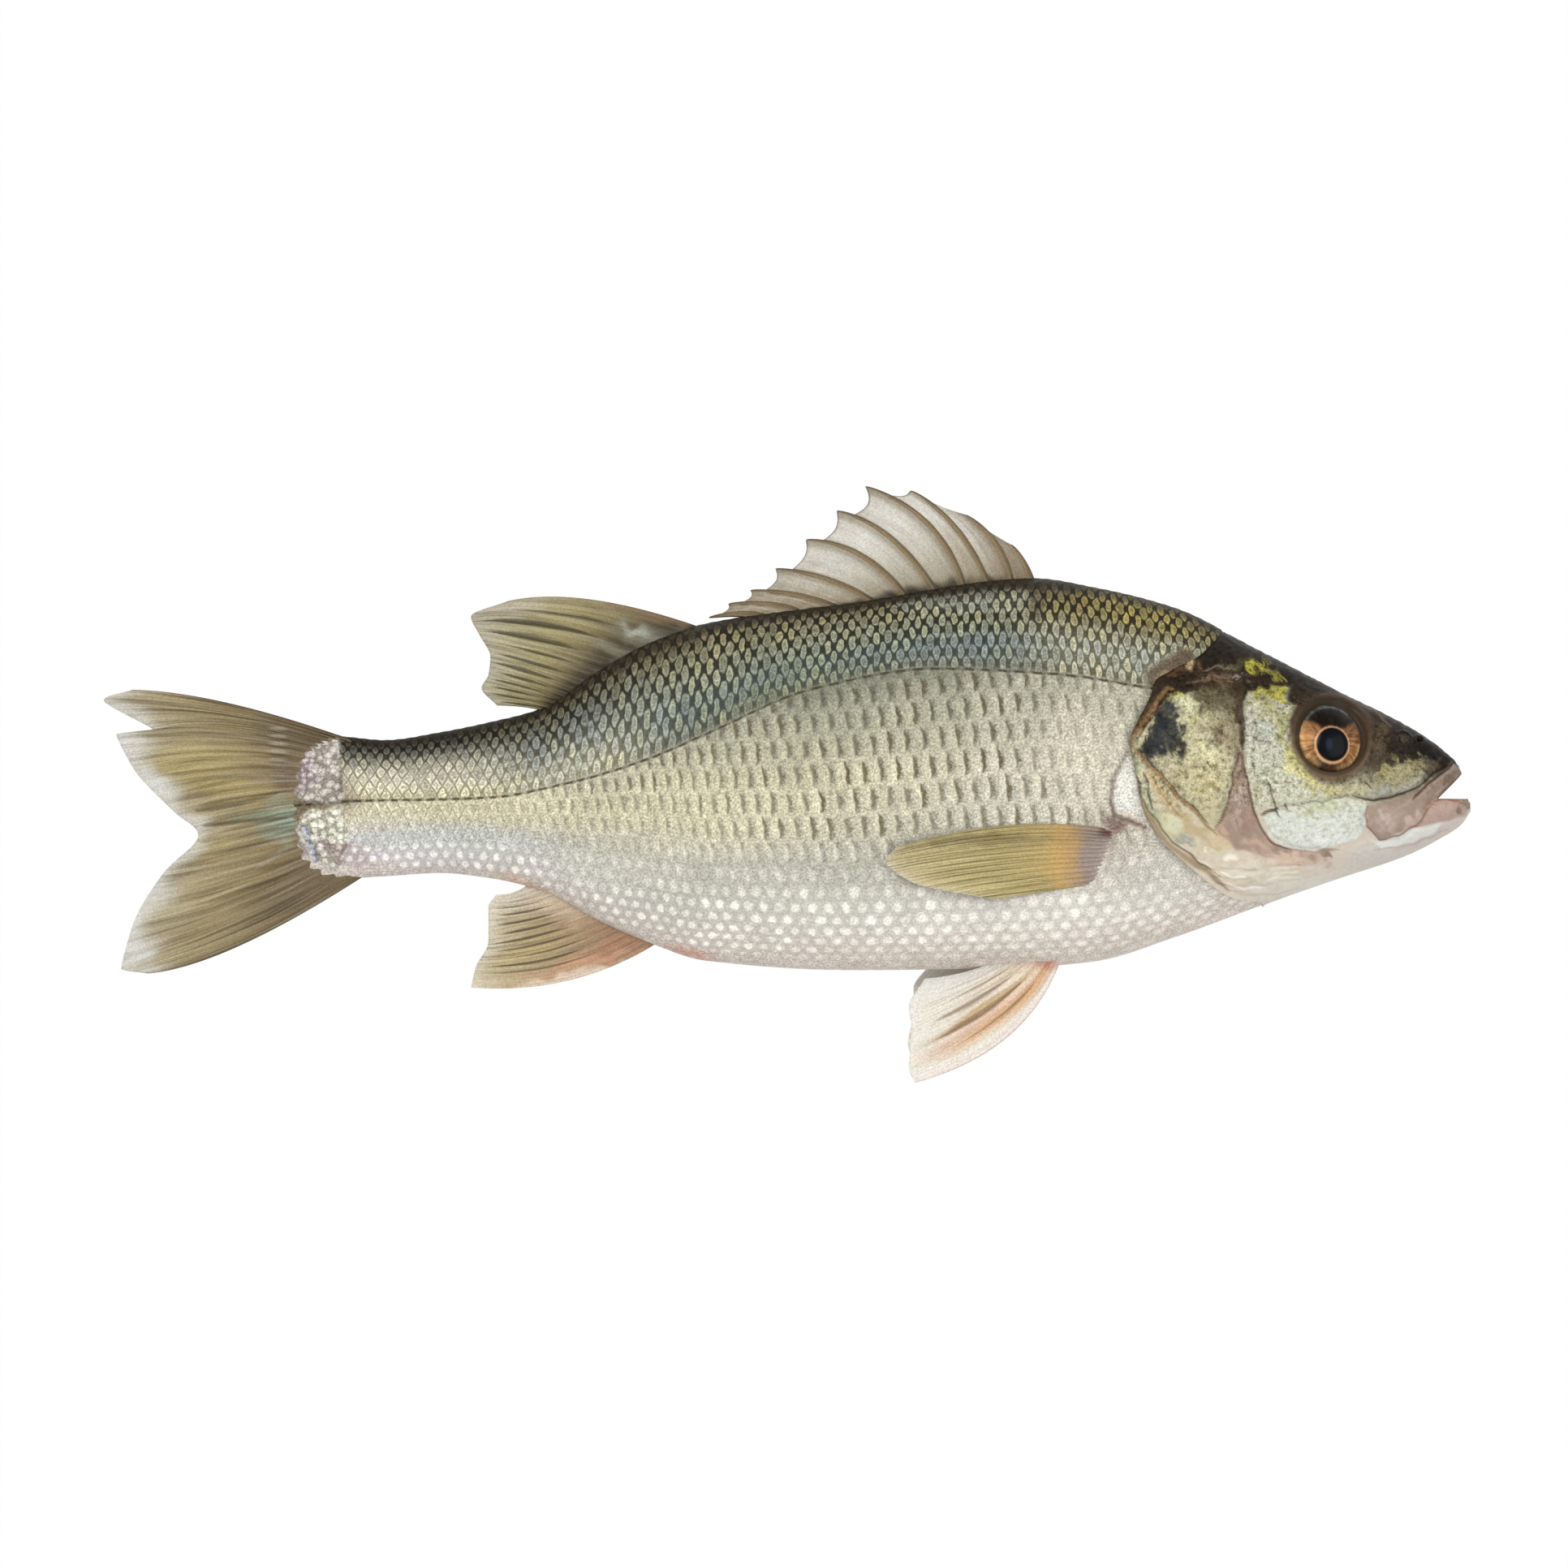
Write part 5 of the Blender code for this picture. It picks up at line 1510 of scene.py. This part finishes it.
def tailPaint(px, py, across, along):
    qx, qy = waver(px, py, 5, 50, 21)
    paint = colourCurve((
        (0, (108, 94, 70)), (0.2, (122, 106, 78)), (0.45, (136, 121, 86)), (0.75, (152, 138, 102)),
        (0.92, (166, 155, 128)), (1, (186, 178, 158)),
    ))(along)
    layBlobs(paint, qx, qy, (
        ((230, 940), (80, 24), -6, (172, 154, 100), 0.6, 0.7),
        ((270, 972), (66, 14), 6, (168, 150, 96), 0.6, 0.7),
        ((240, 1050), (60, 12), -18, (164, 148, 98), 0.5, 0.7),
        ((346, 1006), (40, 24), -12, (132, 148, 128), 0.9, 0.6),
        ((306, 1004), (34, 8), -8, (128, 138, 112), 0.7, 0.6),
        ((336, 1030), (26, 12), 14, (140, 150, 130), 0.7, 0.6),
        ((352, 1096), (70, 30), -30, (104, 88, 66), 0.7, 0.7),
        ((350, 905), (60, 20), 14, (104, 90, 68), 0.7, 0.7),
        ((344, 950), (16, 30), 0, (112, 92, 76), 0.7, 0.6),
    ))
    for k in range(7):
        # short grey bars in front of the upper lobe
        lay(paint, blob(px, py, (337, 897 + 9.5 * k), (13, 2.6), 4, 0.6), (176, 168, 146), 0.55 - 0.04 * k)
        lay(paint, blob(px, py, (337, 901.5 + 9.5 * k), (14, 2.0), 4, 0.6), (84, 74, 56), 0.6)
    for k in range(6):
        lay(paint, blob(px, py, (346 - 7 * k, 1046 + 5 * k), (13, 2.6), -26, 0.6), (148, 140, 120), 0.4)
    pale = smoothStep(0.84, 1.0, along + 0.05 * np.sin(across * 60)) * (1 - 0.8 * smoothStep(0.06, 0.0, across))
    lay(paint, pale, (198, 195, 184), 0.8)
    for centre, radii, turn in (
        ((150, 1145), (18, 56), 10), ((172, 1082), (20, 44), 40), ((140, 918), (26, 26), 0),
        ((182, 966), (34, 16), 38), ((134, 880), (30, 8), 18), ((166, 1180), (16, 14), 0),
    ):
        lay(paint, blob(qx, qy, centre, radii, turn, 0.9), (206, 206, 200), 0.75)
    layStrokes(paint, px, py, (
        (((232, 1000), (290, 990), (340, 976)), 8, (92, 78, 50), 0.8),
        (((240, 1018), (300, 1012), (350, 1008)), 6, (88, 76, 50), 0.8),
        (((236, 1040), (290, 1030), (340, 1018)), 5, (104, 92, 62), 0.6),
    ), 0.9, 0.2)
    lay(paint, smoothStep(0.05, 0.0, across) * smoothStep(0.9, 0.6, along), (66, 54, 38), 0.85)
    lay(paint, smoothStep(0.03, 0.0, across) * smoothStep(0.5, 0.8, along), (128, 104, 74), 0.7)
    lay(paint, smoothStep(0.955, 1.0, across) * smoothStep(1.0, 0.7, along), (86, 70, 52), 0.8)
    lay(paint, smoothStep(0.97, 1.0, across) * smoothStep(0.6, 0.9, along), (150, 130, 112), 0.6)
    return withAlpha(paint, 0.35 + 0.65 * smoothStep(0.02, 0.3, along) - 0.55 * pale)


tailPiece = buildFin("tailFin", tailFin, 240, 160, tailPaint)
finishPiece(tailPiece, finMaterial("tailFinSkin", 0.58, (68, 55, 34), 0.3, (0.55, 0.5), 0.12))

softDorsal = {
    "rays": (
        ((-16.6, 31.8), (-39.0, 37.6), (-56.4, 37.4)), ((-27.4, 27.9), (-46.1, 33.5), (-64.0, 34.2)),
        ((-35.3, 23.9), (-49.1, 27.9), (-62.2, 30.4)), ((-40.9, 19.9), (-50.4, 23.4), (-60.0, 26.0)),
        ((-44.0, 17.6), (-52.1, 20.3), (-60.4, 22.4)), ((-46.1, 16.2), (-53.7, 18.0), (-61.8, 19.6)),
        ((-48.4, 14.6), (-52.6, 15.6), (-58.6, 16.0)),
    ),
    "height": "middle",
    "rayCount": 12,
    "ridge": 0.22,
    "rootHalf": 1.2,
    "edgeHalf": 0.3,
    "ripple": 0.2,
}


def softDorsalPaint(px, py, across, along):
    qx, qy = waver(px, py, 4, 40, 22)
    paint = colourCurve((
        (0, (50, 43, 32)), (0.14, (78, 68, 49)), (0.3, (128, 117, 82)), (0.5, (154, 144, 103)),
        (0.8, (164, 155, 124)), (1, (172, 165, 146)),
    ))(along)
    layBlobs(paint, qx, qy, (
        ((800, 786), (50, 14), 18, (130, 130, 114), 0.7, 0.9),
        ((784, 776), (24, 6), 10, (186, 188, 172), 0.6, 0.9),
        ((756, 800), (34, 8), 24, (128, 124, 104), 0.6, 0.6),
        ((800, 756), (80, 9), 12, (116, 96, 68), 0.75, 0.7),
        ((620, 752), (50, 14), -6, (182, 172, 156), 0.6, 0.8),
    ))
    lay(paint, smoothStep(0.05, 0.0, across) * smoothStep(0.15, 0.3, along), (120, 104, 78), 0.5)
    return withAlpha(paint, 0.25 + 0.75 * smoothStep(0.1, 0.35, along) * smoothStep(0.04, 0.12, across))


softDorsalPiece = buildFin("softDorsal", softDorsal, 180, 120, softDorsalPaint)
finishPiece(softDorsalPiece, finMaterial("softDorsalSkin", 0.5, (84, 76, 48), 0.9, (0.55, 0.38), 0.24))

analFin = {
    "rays": (
        ((-25.8, -32.4), (-44.0, -40.1), (-64.0, -41.6)), ((-32.0, -29.4), (-47.0, -35.4), (-63.0, -37.4)),
        ((-38.0, -26.0), (-49.6, -29.8), (-60.4, -32.0)), ((-44.4, -22.0), (-52.6, -24.6), (-60.4, -25.4)),
        ((-50.0, -18.4), (-54.0, -21.6), (-58.8, -22.6)),
    ),
    "height": "middle",
    "rayCount": 14,
    "ridge": 0.22,
    "rootHalf": 1.2,
    "edgeHalf": 0.3,
    "ripple": 0.2,
}


def analPaint(px, py, across, along):
    qx, qy = waver(px, py, 4, 40, 23)
    paint = colourCurve((
        (0, (152, 122, 98)), (0.25, (156, 130, 100)), (0.5, (164, 146, 108)), (0.8, (180, 166, 132)),
        (1, (206, 198, 178)),
    ))(along)
    layBlobs(paint, qx, qy, (
        ((752, 1166), (60, 9), -18, (160, 116, 88), 0.7, 0.6),
        ((700, 1192), (80, 9), -14, (190, 142, 114), 0.6, 0.9),
        ((740, 1184), (60, 6), -14, (200, 150, 120), 0.4, 0.9),
        ((700, 1206), (110, 7), -12, (216, 196, 176), 0.85, 0.7),
        ((640, 1180), (60, 18), -24, (176, 156, 108), 0.6, 0.7),
    ))
    lay(paint, smoothStep(0.5, 0.95, across), (218, 211, 194), 0.8)
    lay(paint, blob(qx, qy, (690, 1120), (44, 16), 20, 0.8), (206, 186, 158), 0.6)
    return withAlpha(
        paint,
        (0.25 + 0.75 * smoothStep(0.12, 0.4, along)) * (1 - 0.75 * smoothStep(0.6, 1, across))
        * smoothStep(0.08, 0.26, across),
    )


analPiece = buildFin("analFin", analFin, 160, 110, analPaint)
finishPiece(analPiece, finMaterial("analFinSkin", 0.5, (88, 72, 46), 0.85, (0.56, 0.36), 0.2))

pelvicFins = {
    "rays": (
        ((56.2, -35.6), (45.4, -51.4), (26.6, -60.8)), ((54.0, -35.0), (43.6, -46.6), (25.4, -57.4)),
        ((51.6, -34.6), (40.6, -42.8), (26.0, -50.4)), ((49.0, -34.2), (38.6, -40.0), (25.4, -45.4)),
        ((46.0, -34.2), (38.0, -37.8), (28.6, -39.6)),
    ),
    "rayCount": 7,
    "ridge": 0.25,
    "rootHalf": 1.3,
    "edgeHalf": 0.3,
    "ripple": 0.15,
    "foldDegrees": -6,
    "lowerShare": 0.93,
}


def pelvicPaint(px, py, across, along):
    qa = across + 0.02 * np.sin(along * 9)
    paint = colourCurve((
        (0, (208, 178, 156)), (0.2, (216, 200, 180)), (0.6, (218, 210, 194)), (1, (222, 217, 206)),
    ))(along)
    layBlobs(paint, qa, along, (
        ((0.22, 0.42), (0.1, 0.5), 0, (204, 158, 110), 0.8, 0.6),
        ((0.3, 0.6), (0.06, 0.4), 0, (222, 190, 168), 0.7, 0.6),
        ((0.38, 0.5), (0.04, 0.45), 0, (186, 150, 92), 0.7, 0.6),
    ))
    lay(paint, smoothStep(0.13, 0.05, across), (226, 216, 208), 0.85)
    lay(paint, smoothStep(0.6, 0.9, across), (216, 214, 208), 0.8)
    lay(paint, smoothStep(0.025, 0.0, across), (190, 160, 140), 0.6)
    lay(paint, blob(px, py, (1290, 1184), (20, 12), 20, 0.7), (176, 120, 106), 0.6)
    return withAlpha(
        paint,
        smoothStep(0.12, 0.3, along) * smoothStep(0.9, 0.6, across) * smoothStep(0.1, 0.2, across)
        * smoothStep(1, 0.8, along),
    )


upperPelvic = dict(pelvicFins, height="upperPelvic")
pelvicPiece = buildFin("pelvicUpper", upperPelvic, 130, 110, pelvicPaint)
pelvicSkin = finMaterial("pelvicFinSkin", 0.3, (142, 108, 66), 0.7, (0.5, 0.34), 0.22)
finishPiece(pelvicPiece, pelvicSkin)


def foldedRays(rays, pivot, degrees, share):
    a = math.radians(degrees)
    rays = (np.asarray(rays, float) - pivot) * share
    turned = np.stack([
        rays[..., 0] * math.cos(a) - rays[..., 1] * math.sin(a),
        rays[..., 0] * math.sin(a) + rays[..., 1] * math.cos(a),
    ], -1)
    return turned + pivot


lowerPelvic = dict(pelvicFins, height="lowerPelvic", rays=foldedRays(
    pelvicFins["rays"], pelvicFins["rays"][1][0], pelvicFins["foldDegrees"], pelvicFins["lowerShare"],
))
lowerPelvicPiece = buildFin("pelvicLower", lowerPelvic, 90, 70, pelvicPaint)
finishPiece(lowerPelvicPiece, pelvicSkin)

pectoralFins = {
    "rays": (
        ((67.6, -9.4), (46.0, -8.2), (22.6, -12.6)), ((67.0, -12.0), (44.4, -12.0), (20.5, -15.5)),
        ((65.6, -15.6), (44.0, -17.0), (25.8, -19.8)), ((63.0, -20.0), (52.0, -21.8), (41.6, -23.2)),
    ),
    "rayCount": 14,
    "ridge": 0.25,
    "rootHalf": 1.1,
    "edgeHalf": 0.3,
    "ripple": 0.1,
}


def pectoralPaint(px, py, across, along):
    qx, qy = waver(px, py, 3, 30, 24)
    paint = colourCurve((
        (0, (150, 132, 120)), (0.14, (158, 142, 130)), (0.2, (170, 146, 118)), (0.27, (184, 156, 104)),
        (0.45, (184, 168, 116)), (0.8, (192, 177, 126)), (0.95, (200, 187, 146)), (1, (210, 200, 172)),
    ))(along)
    layBlobs(paint, qx, qy, (
        ((1308, 1058), (22, 44), 6, (208, 166, 98), 0.6, 1.0),
        ((1280, 1060), (40, 40), 4, (194, 172, 112), 0.4, 1.0),
        ((1350, 1056), (26, 34), 8, (164, 150, 141), 0.85, 0.5),
        ((1366, 1020), (16, 16), 0, (92, 52, 46), 0.85, 0.6),
        ((1376, 1050), (10, 30), 10, (142, 112, 100), 0.7, 0.6),
        ((1200, 1034), (110, 9), 0, (140, 128, 92), 0.6, 0.6),
    ))
    lay(paint, smoothStep(0.035, 0.0, across), (112, 98, 72), 0.6)
    lay(paint, smoothStep(0.95, 1.0, across), (150, 134, 92), 0.5)
    return withAlpha(paint, smoothStep(0.24, 0.4, along))


pectoralSkin = finMaterial("pectoralFinSkin", 0.68, (112, 98, 56), 0.7, (0.62, 0.42), 0.16)
for name, height in (("pectoralUpper", "upperPectoral"), ("pectoralLower", "lowerPectoral")):
    columns, rows = (140, 150) if height == "upperPectoral" else (80, 90)
    finPiece = buildFin(name, dict(pectoralFins, height=height), columns, rows, pectoralPaint)
    finishPiece(finPiece, pectoralSkin)
print("soft fins done")

# spiny dorsal fin: a web between round tapered spines
spinyDorsal = {
    "rays": (
        ((50.4, 40.5), (48.8, 45.0), (46.2, 48.8)), ((46.6, 40.4), (43.0, 49.0), (36.8, 54.9)),
        ((42.0, 39.9), (35.0, 52.0), (25.8, 59.8)), ((37.0, 39.2), (29.6, 52.6), (16.5, 60.7)),
        ((31.4, 38.5), (21.8, 50.0), (10.7, 55.7)), ((25.2, 37.9), (15.6, 46.6), (4.4, 49.8)),
        ((18.4, 37.0), (9.0, 41.6), (-1.8, 43.9)), ((10.6, 36.0), (2.6, 38.4), (-6.9, 39.5)),
        ((3.2, 35.0), (-3.4, 36.6), (-11.4, 36.7)), ((-4.0, 34.0), (-9.4, 34.6), (-15.4, 33.9)),
    ),
    "webTop": 0.86,
    "hollow": 0.4,
    "columns": 260,
    "rows": 110,
    "webHalf": (0.5, 0.22),
    "spineRoot": 0.95,
    "spineTip": 0.28,
}


def buildSpinyWeb():
    piece, share, along, side = addSheet("spinyDorsal", spinyDorsal["columns"], spinyDorsal["rows"])
    last = len(spinyDorsal["rays"]) - 1
    across = share * last
    between = across - np.floor(np.minimum(across, last - 1e-6))
    top = 1 - (1 - spinyDorsal["webTop"]) * (between + spinyDorsal["hollow"] * np.sin(math.pi * between))
    top = np.where(share >= 1 - 1e-6, 1, top)
    place = fanCurve(spinyDorsal["rays"], across, along * top, False)
    x, y = place[:, 0], place[:, 1]
    rootHalf, edgeHalf = spinyDorsal["webHalf"]
    half = rootHalf * (1 - along) ** 2 + edgeHalf
    wrinkle = 0.16 * np.sin(along * 26 + across * 5) * np.sin(between * math.pi) * along
    z = midplane(x) - 0.9 * along**2 + wrinkle + side * half
    shapePiece(piece, np.stack([x, y, z], -1))
    qa = across + 0.05 * np.sin(along * 11 + across * 3)
    paint = colourCurve((
        (0, (48, 40, 30)), (0.05, (84, 74, 58)), (0.12, (158, 150, 130)), (0.4, (188, 183, 170)),
        (0.7, (204, 201, 192)), (1, (196, 191, 180)),
    ))(along)
    rear = smoothStep(5.0, 7.5, across)
    lay(paint, rear, (142, 128, 102), 0.8)
    lay(paint, smoothStep(0.13, 0.03, along + 0.03 * np.sin(across * 9)), (46, 38, 29), 0.9)
    # dark lines along each spine, and painted shade on the web just behind it
    behind = hill(np.minimum(between, 1 - between), 0, 0.09)
    lay(paint, behind, (92, 76, 52), 0.8)
    lay(paint, hill(between, 0.14, 0.1), (128, 114, 88), 0.6)
    lay(
        paint, hill(np.mod(qa, 1), 0.3, 0.05) * smoothStep(0.2, 0.5, along) * smoothStep(0.9, 0.6, along),
        (176, 172, 160), 0.5,
    )
    front = smoothStep(2.0, 0.9, across)
    lay(paint, front, (122, 104, 78), 0.75)
    lay(paint, hill(across, 2.5, 0.3) * smoothStep(0.8, 0.3, along), (150, 136, 110), 0.5)
    lay(paint, smoothStep(0.978, 1.0, along), (92, 84, 70), 0.85)
    writeColour(piece, "finPaint", withAlpha(paint, 0.35 + 0.5 * rear + 0.3 * front))
    writeMap(piece, "finMap", across * 1.6, along)
    return piece


def buildSpine(number, ray):
    piece, share, angle, pole = addSphere(f"spine{number}", 20, 48)
    centre = fanCurve([ray, ray], np.zeros(share.shape), share, False)
    ahead = fanCurve([ray, ray], np.zeros(share.shape), np.minimum(share + 0.01, 1.01), False)
    tangent = ahead - centre
    tangent /= np.maximum(np.hypot(*tangent.T), 1e-9)[:, None]
    radius = (
        (spinyDorsal["spineRoot"] * (1 - share) + spinyDorsal["spineTip"] * share)
        * np.sqrt(np.clip(1 - share**14, 0, 1))
    )
    radius = radius * np.where(pole, 0, 1)
    across = radius * np.sin(angle)
    x = centre[:, 0] - tangent[:, 1] * across
    y = centre[:, 1] + tangent[:, 0] * across
    z = midplane(x) - 0.9 * share**2 + radius * np.cos(angle) * 0.85
    shapePiece(piece, np.stack([x, y, z], -1))
    # the round spine: painted shade on both its sides and a painted highlight just off its top
    spineSideShade = np.abs(np.sin(angle))
    paint = colourCurve(((0, (54, 44, 33)), (0.15, (108, 92, 68)), (0.6, (128, 110, 80)), (1, (92, 80, 60))))(share)
    lay(paint, spineSideShade**3, (80, 64, 44), 0.8)
    lay(paint, hill(np.sin(angle), 0.35, 0.3), (176, 154, 116), 0.5)
    writeColour(piece, "finPaint", withAlpha(paint, np.full(share.shape, 0.4)))
    writeMap(piece, "finMap", angle, share)
    return piece


webPiece = buildSpinyWeb()
spinePieces = [buildSpine(i, ray) for i, ray in enumerate(spinyDorsal["rays"])]
selectOnly(webPiece)
for spine in spinePieces:
    spine.select_set(True)
bpy.ops.object.join()
finishPiece(webPiece, finMaterial("spinyDorsalSkin", 0.5, (126, 112, 88)))
print("spiny dorsal done")

# eyes
eye = {
    "radius": (7.25, 7.6),  # along the fish and across it
    "halfDepth": 4.6,
    "sunk": 3.25,
    "pupil": 3.35,
    "pupilPlace": (-0.28, -1.95),  # the pupil sits low in the eye
    "segments": 160,
    "rings": 120,
}


def eyeFrame(side):
    # the eye's middle and its axes, on the skin of one side
    cx, cy = head["eyeCentre"]
    step = 0.6

    def skin(x, y):
        x = np.array([float(x)])
        return float(midplane(x)[0] + side * flankRise(x, np.array([float(y)]))[0])

    slopeX = (skin(cx + step, cy) - skin(cx - step, cy)) / (2 * step)
    slopeY = (skin(cx, cy + step) - skin(cx, cy - step)) / (2 * step)
    normal = np.array([-slopeX, -slopeY, 1.0]) * side
    normal /= np.linalg.norm(normal)
    along = np.array([1.0, 0.0, 0.0]) - normal[0] * normal
    along /= np.linalg.norm(along)
    across = np.cross(normal, along)
    middle = np.array([cx, cy, skin(cx, cy)]) - normal * eye["sunk"]
    return middle, along, across * (1 if across[1] > 0 else -1), normal


def eyePaint(u, v):
    # u, v in mm from the eye's axis, u to the snout and v to the back
    rim = np.hypot(u / eye["radius"][0], v / eye["radius"][1]) * 6.8
    u, v = u - eye["pupilPlace"][0], v - eye["pupilPlace"][1]
    far = np.hypot(u, v)
    turn = np.degrees(np.arctan2(v, u))
    paint = np.tile(linear((108, 76, 50)), (len(u), 1))
    outer = smoothStep(3.6, 4.4, far)
    lay(paint, hill(np.abs(turn), 165, 40) * outer, (190, 134, 80), 0.85)
    lay(paint, hill(turn, -10, 40) * outer, (192, 138, 86), 0.85)
    lay(paint, hill(rim, 5.9, 0.4) * smoothStep(70, 30, np.abs(np.abs(turn) - 170)), (232, 184, 128), 0.85)
    lay(paint, hill(rim, 5.9, 0.4) * smoothStep(60, 30, np.abs(turn + 30)), (232, 184, 128), 0.85)
    lay(paint, hill(turn, -98, 44) * smoothStep(3.1, 3.8, far), (50, 37, 27), 0.9)
    lay(paint, hill(turn, -55, 8) * smoothStep(4.3, 5.0, far), (52, 40, 30), 0.6)
    lay(paint, hill(turn, -140, 8) * smoothStep(4.3, 5.0, far), (62, 46, 34), 0.6)
    lay(paint, smoothStep(6.2, 6.6, rim), (84, 60, 42), 0.85)
    # the eye's dark top: a black arc, with the brow's painted shadow over it
    lay(paint, smoothStep(-1.0, 0.9, v - 2.1 - 0.62 * np.abs(u + 0.2)), (24, 19, 16), 0.97)
    lay(paint, smoothStep(5.3, 5.7, rim) * smoothStep(6.5, 6.1, rim) * smoothStep(3.6, 5.6, v), (92, 98, 98), 0.8)
    lay(paint, hill(rim, 6.35, 0.22) * smoothStep(0.0, 2.0, v) * smoothStep(0.5, 2.0, -u), (96, 104, 104), 0.6)
    lay(paint, hill(far, eye["pupil"] + 0.26, 0.24), (222, 172, 126), 0.92 - 0.3 * smoothStep(1.0, 3.0, v))
    lay(paint, smoothStep(eye["pupil"] + 0.06, eye["pupil"] - 0.1, far), (9, 11, 16), 1.0)
    # painted reflection: a faint bluish patch in the pupil
    lay(paint, blob(u, v, (-0.9, -0.2), (0.8, 1.3), 0, 0.6) * (far < eye["pupil"]), (34, 40, 58), 0.7)
    return paint


def eyeMaterial():
    material, shader = newMaterial("wetEye", 0.3, coat=0.05, coatRoughness=0.1, specular=0.08)
    paint = attribute("eyePaint").outputs["Color"]
    split = addNode("SeparateXYZ", {0: addNode("UVMap", uv_map="eyeMap").outputs[0]})
    u = minus(split.outputs[0], eye["pupilPlace"][0])
    v = minus(split.outputs[1], eye["pupilPlace"][1])
    turn = maths("ARCTAN2", v, u)
    far = maths("SQRT", plus(product(u, u), product(v, v)))
    vector = addNode("CombineXYZ", {
        0: product(maths("SINE", turn), 6.0), 1: product(maths("COSINE", turn), 6.0), 2: product(far, 0.35),
    }).outputs[0]
    threads = noise(vector, 1.0, 4.0, 0.6)
    iris = ramp(far, eye["pupil"] + 0.05, eye["pupil"] + 0.6)
    tone = ramp(threads, 0.32, 0.68, 0.36, 1.24)
    toned = dimmed(paint, tone)
    colour = mixed(iris, paint, toned)
    drive(shader, "Base Color", colour)
    bump(shader, threads, 0.00005, 0.3)
    return material


wetEye = eyeMaterial()
for nodeName, side in (("eye_right", 1), ("eye_left", -1)):
    piece, share, angle, pole = addSphere("eyeRight" if side > 0 else "eyeLeft", eye["segments"], eye["rings"])
    # a flattened sphere, bulging a little over the pupil on the side that shows
    polar = math.pi * share
    r, depth = np.sin(polar), -np.cos(polar)
    u, v = eye["radius"][0] * r * np.cos(angle), eye["radius"][1] * r * np.sin(angle)
    w = eye["halfDepth"] * depth
    far = np.hypot(u - eye["pupilPlace"][0], v - eye["pupilPlace"][1])
    w = w + np.where(depth > 0, 0.25 * smoothStep(eye["pupil"] + 0.5, eye["pupil"] - 0.5, far), 0)
    middle, alongAxis, acrossAxis, normal = eyeFrame(side)
    points = middle + u[:, None] * alongAxis + v[:, None] * acrossAxis + w[:, None] * normal
    shapePiece(piece, points)
    writeColour(piece, "eyePaint", eyePaint(u, v))
    writeMap(piece, "eyeMap", u, v)
    finishPiece(piece, wetEye, nodeName)
print("eyes done")

# floor, light and camera
studio = {
    "floorSize": 6.0,
    "distance": 1.48,
    "sensorWidth": 36,  # mm
    "frameWidth": 0.3184,
    "lookFrom": 0.022,  # the camera's distance counts from this height
    "world": 0.42,
    # name, place, power, size
    "lights": (
        ("keyLight", (-0.7, 0.9, 1.5), 22.0, 1.1), ("fillLight", (1.2, 0.2, 1.3), 9.0, 1.2),
        ("lowLight", (-0.1, -1.2, 1.1), 7.0, 1.0),
    ),
}


def floorMaterial():
    # the photo is cut out on white, so the floor shines white and shows no shadow
    material, shader = newMaterial("paleFloor", 0.9, specular=0.0)
    cloud = ramp(noise(objectPlace(), 3.0, 2.0), 0.3, 0.7)
    drive(shader, "Base Color", mixed(cloud, flat((4, 4, 4)), flat((6, 6, 6))))
    shader.inputs["Emission Color"].default_value = (1, 1, 1, 1)
    shader.inputs["Emission Strength"].default_value = 1.0
    return material


floor = added("paleFloor", bpy.ops.mesh.primitive_plane_add, size=studio["floorSize"])
floor.data.materials.append(floorMaterial())


def addLight(name, place, power, size):
    light = bpy.data.lights.new(name, "AREA")
    light.energy, light.size = power, size
    lamp = bpy.data.objects.new(name, light)
    bpy.context.scene.collection.objects.link(lamp)
    lamp.location = place
    x, y, z = place
    lamp.rotation_euler = (math.atan2(math.hypot(x, y), z), 0, math.atan2(y, x) + math.pi / 2)


for name, place, power, size in studio["lights"]:
    addLight(name, place, power, size)
world = bpy.data.worlds.new("paleStudio")
world.use_nodes = True
world.node_tree.nodes["Background"].inputs[0].default_value = (1, 1, 1, 1)
world.node_tree.nodes["Background"].inputs[1].default_value = studio["world"]
bpy.context.scene.world = world
bpy.context.scene.view_settings.view_transform = "Standard"

lens = bpy.data.cameras.new("camera")
lens.sensor_width = studio["sensorWidth"]
lens.lens = studio["sensorWidth"] * studio["distance"] / studio["frameWidth"]
camera = bpy.data.objects.new("camera", lens)
bpy.context.scene.collection.objects.link(camera)
camera.location = (0, 0, studio["distance"] + studio["lookFrom"])
bpy.context.scene.camera = camera

bpy.context.view_layer.update()
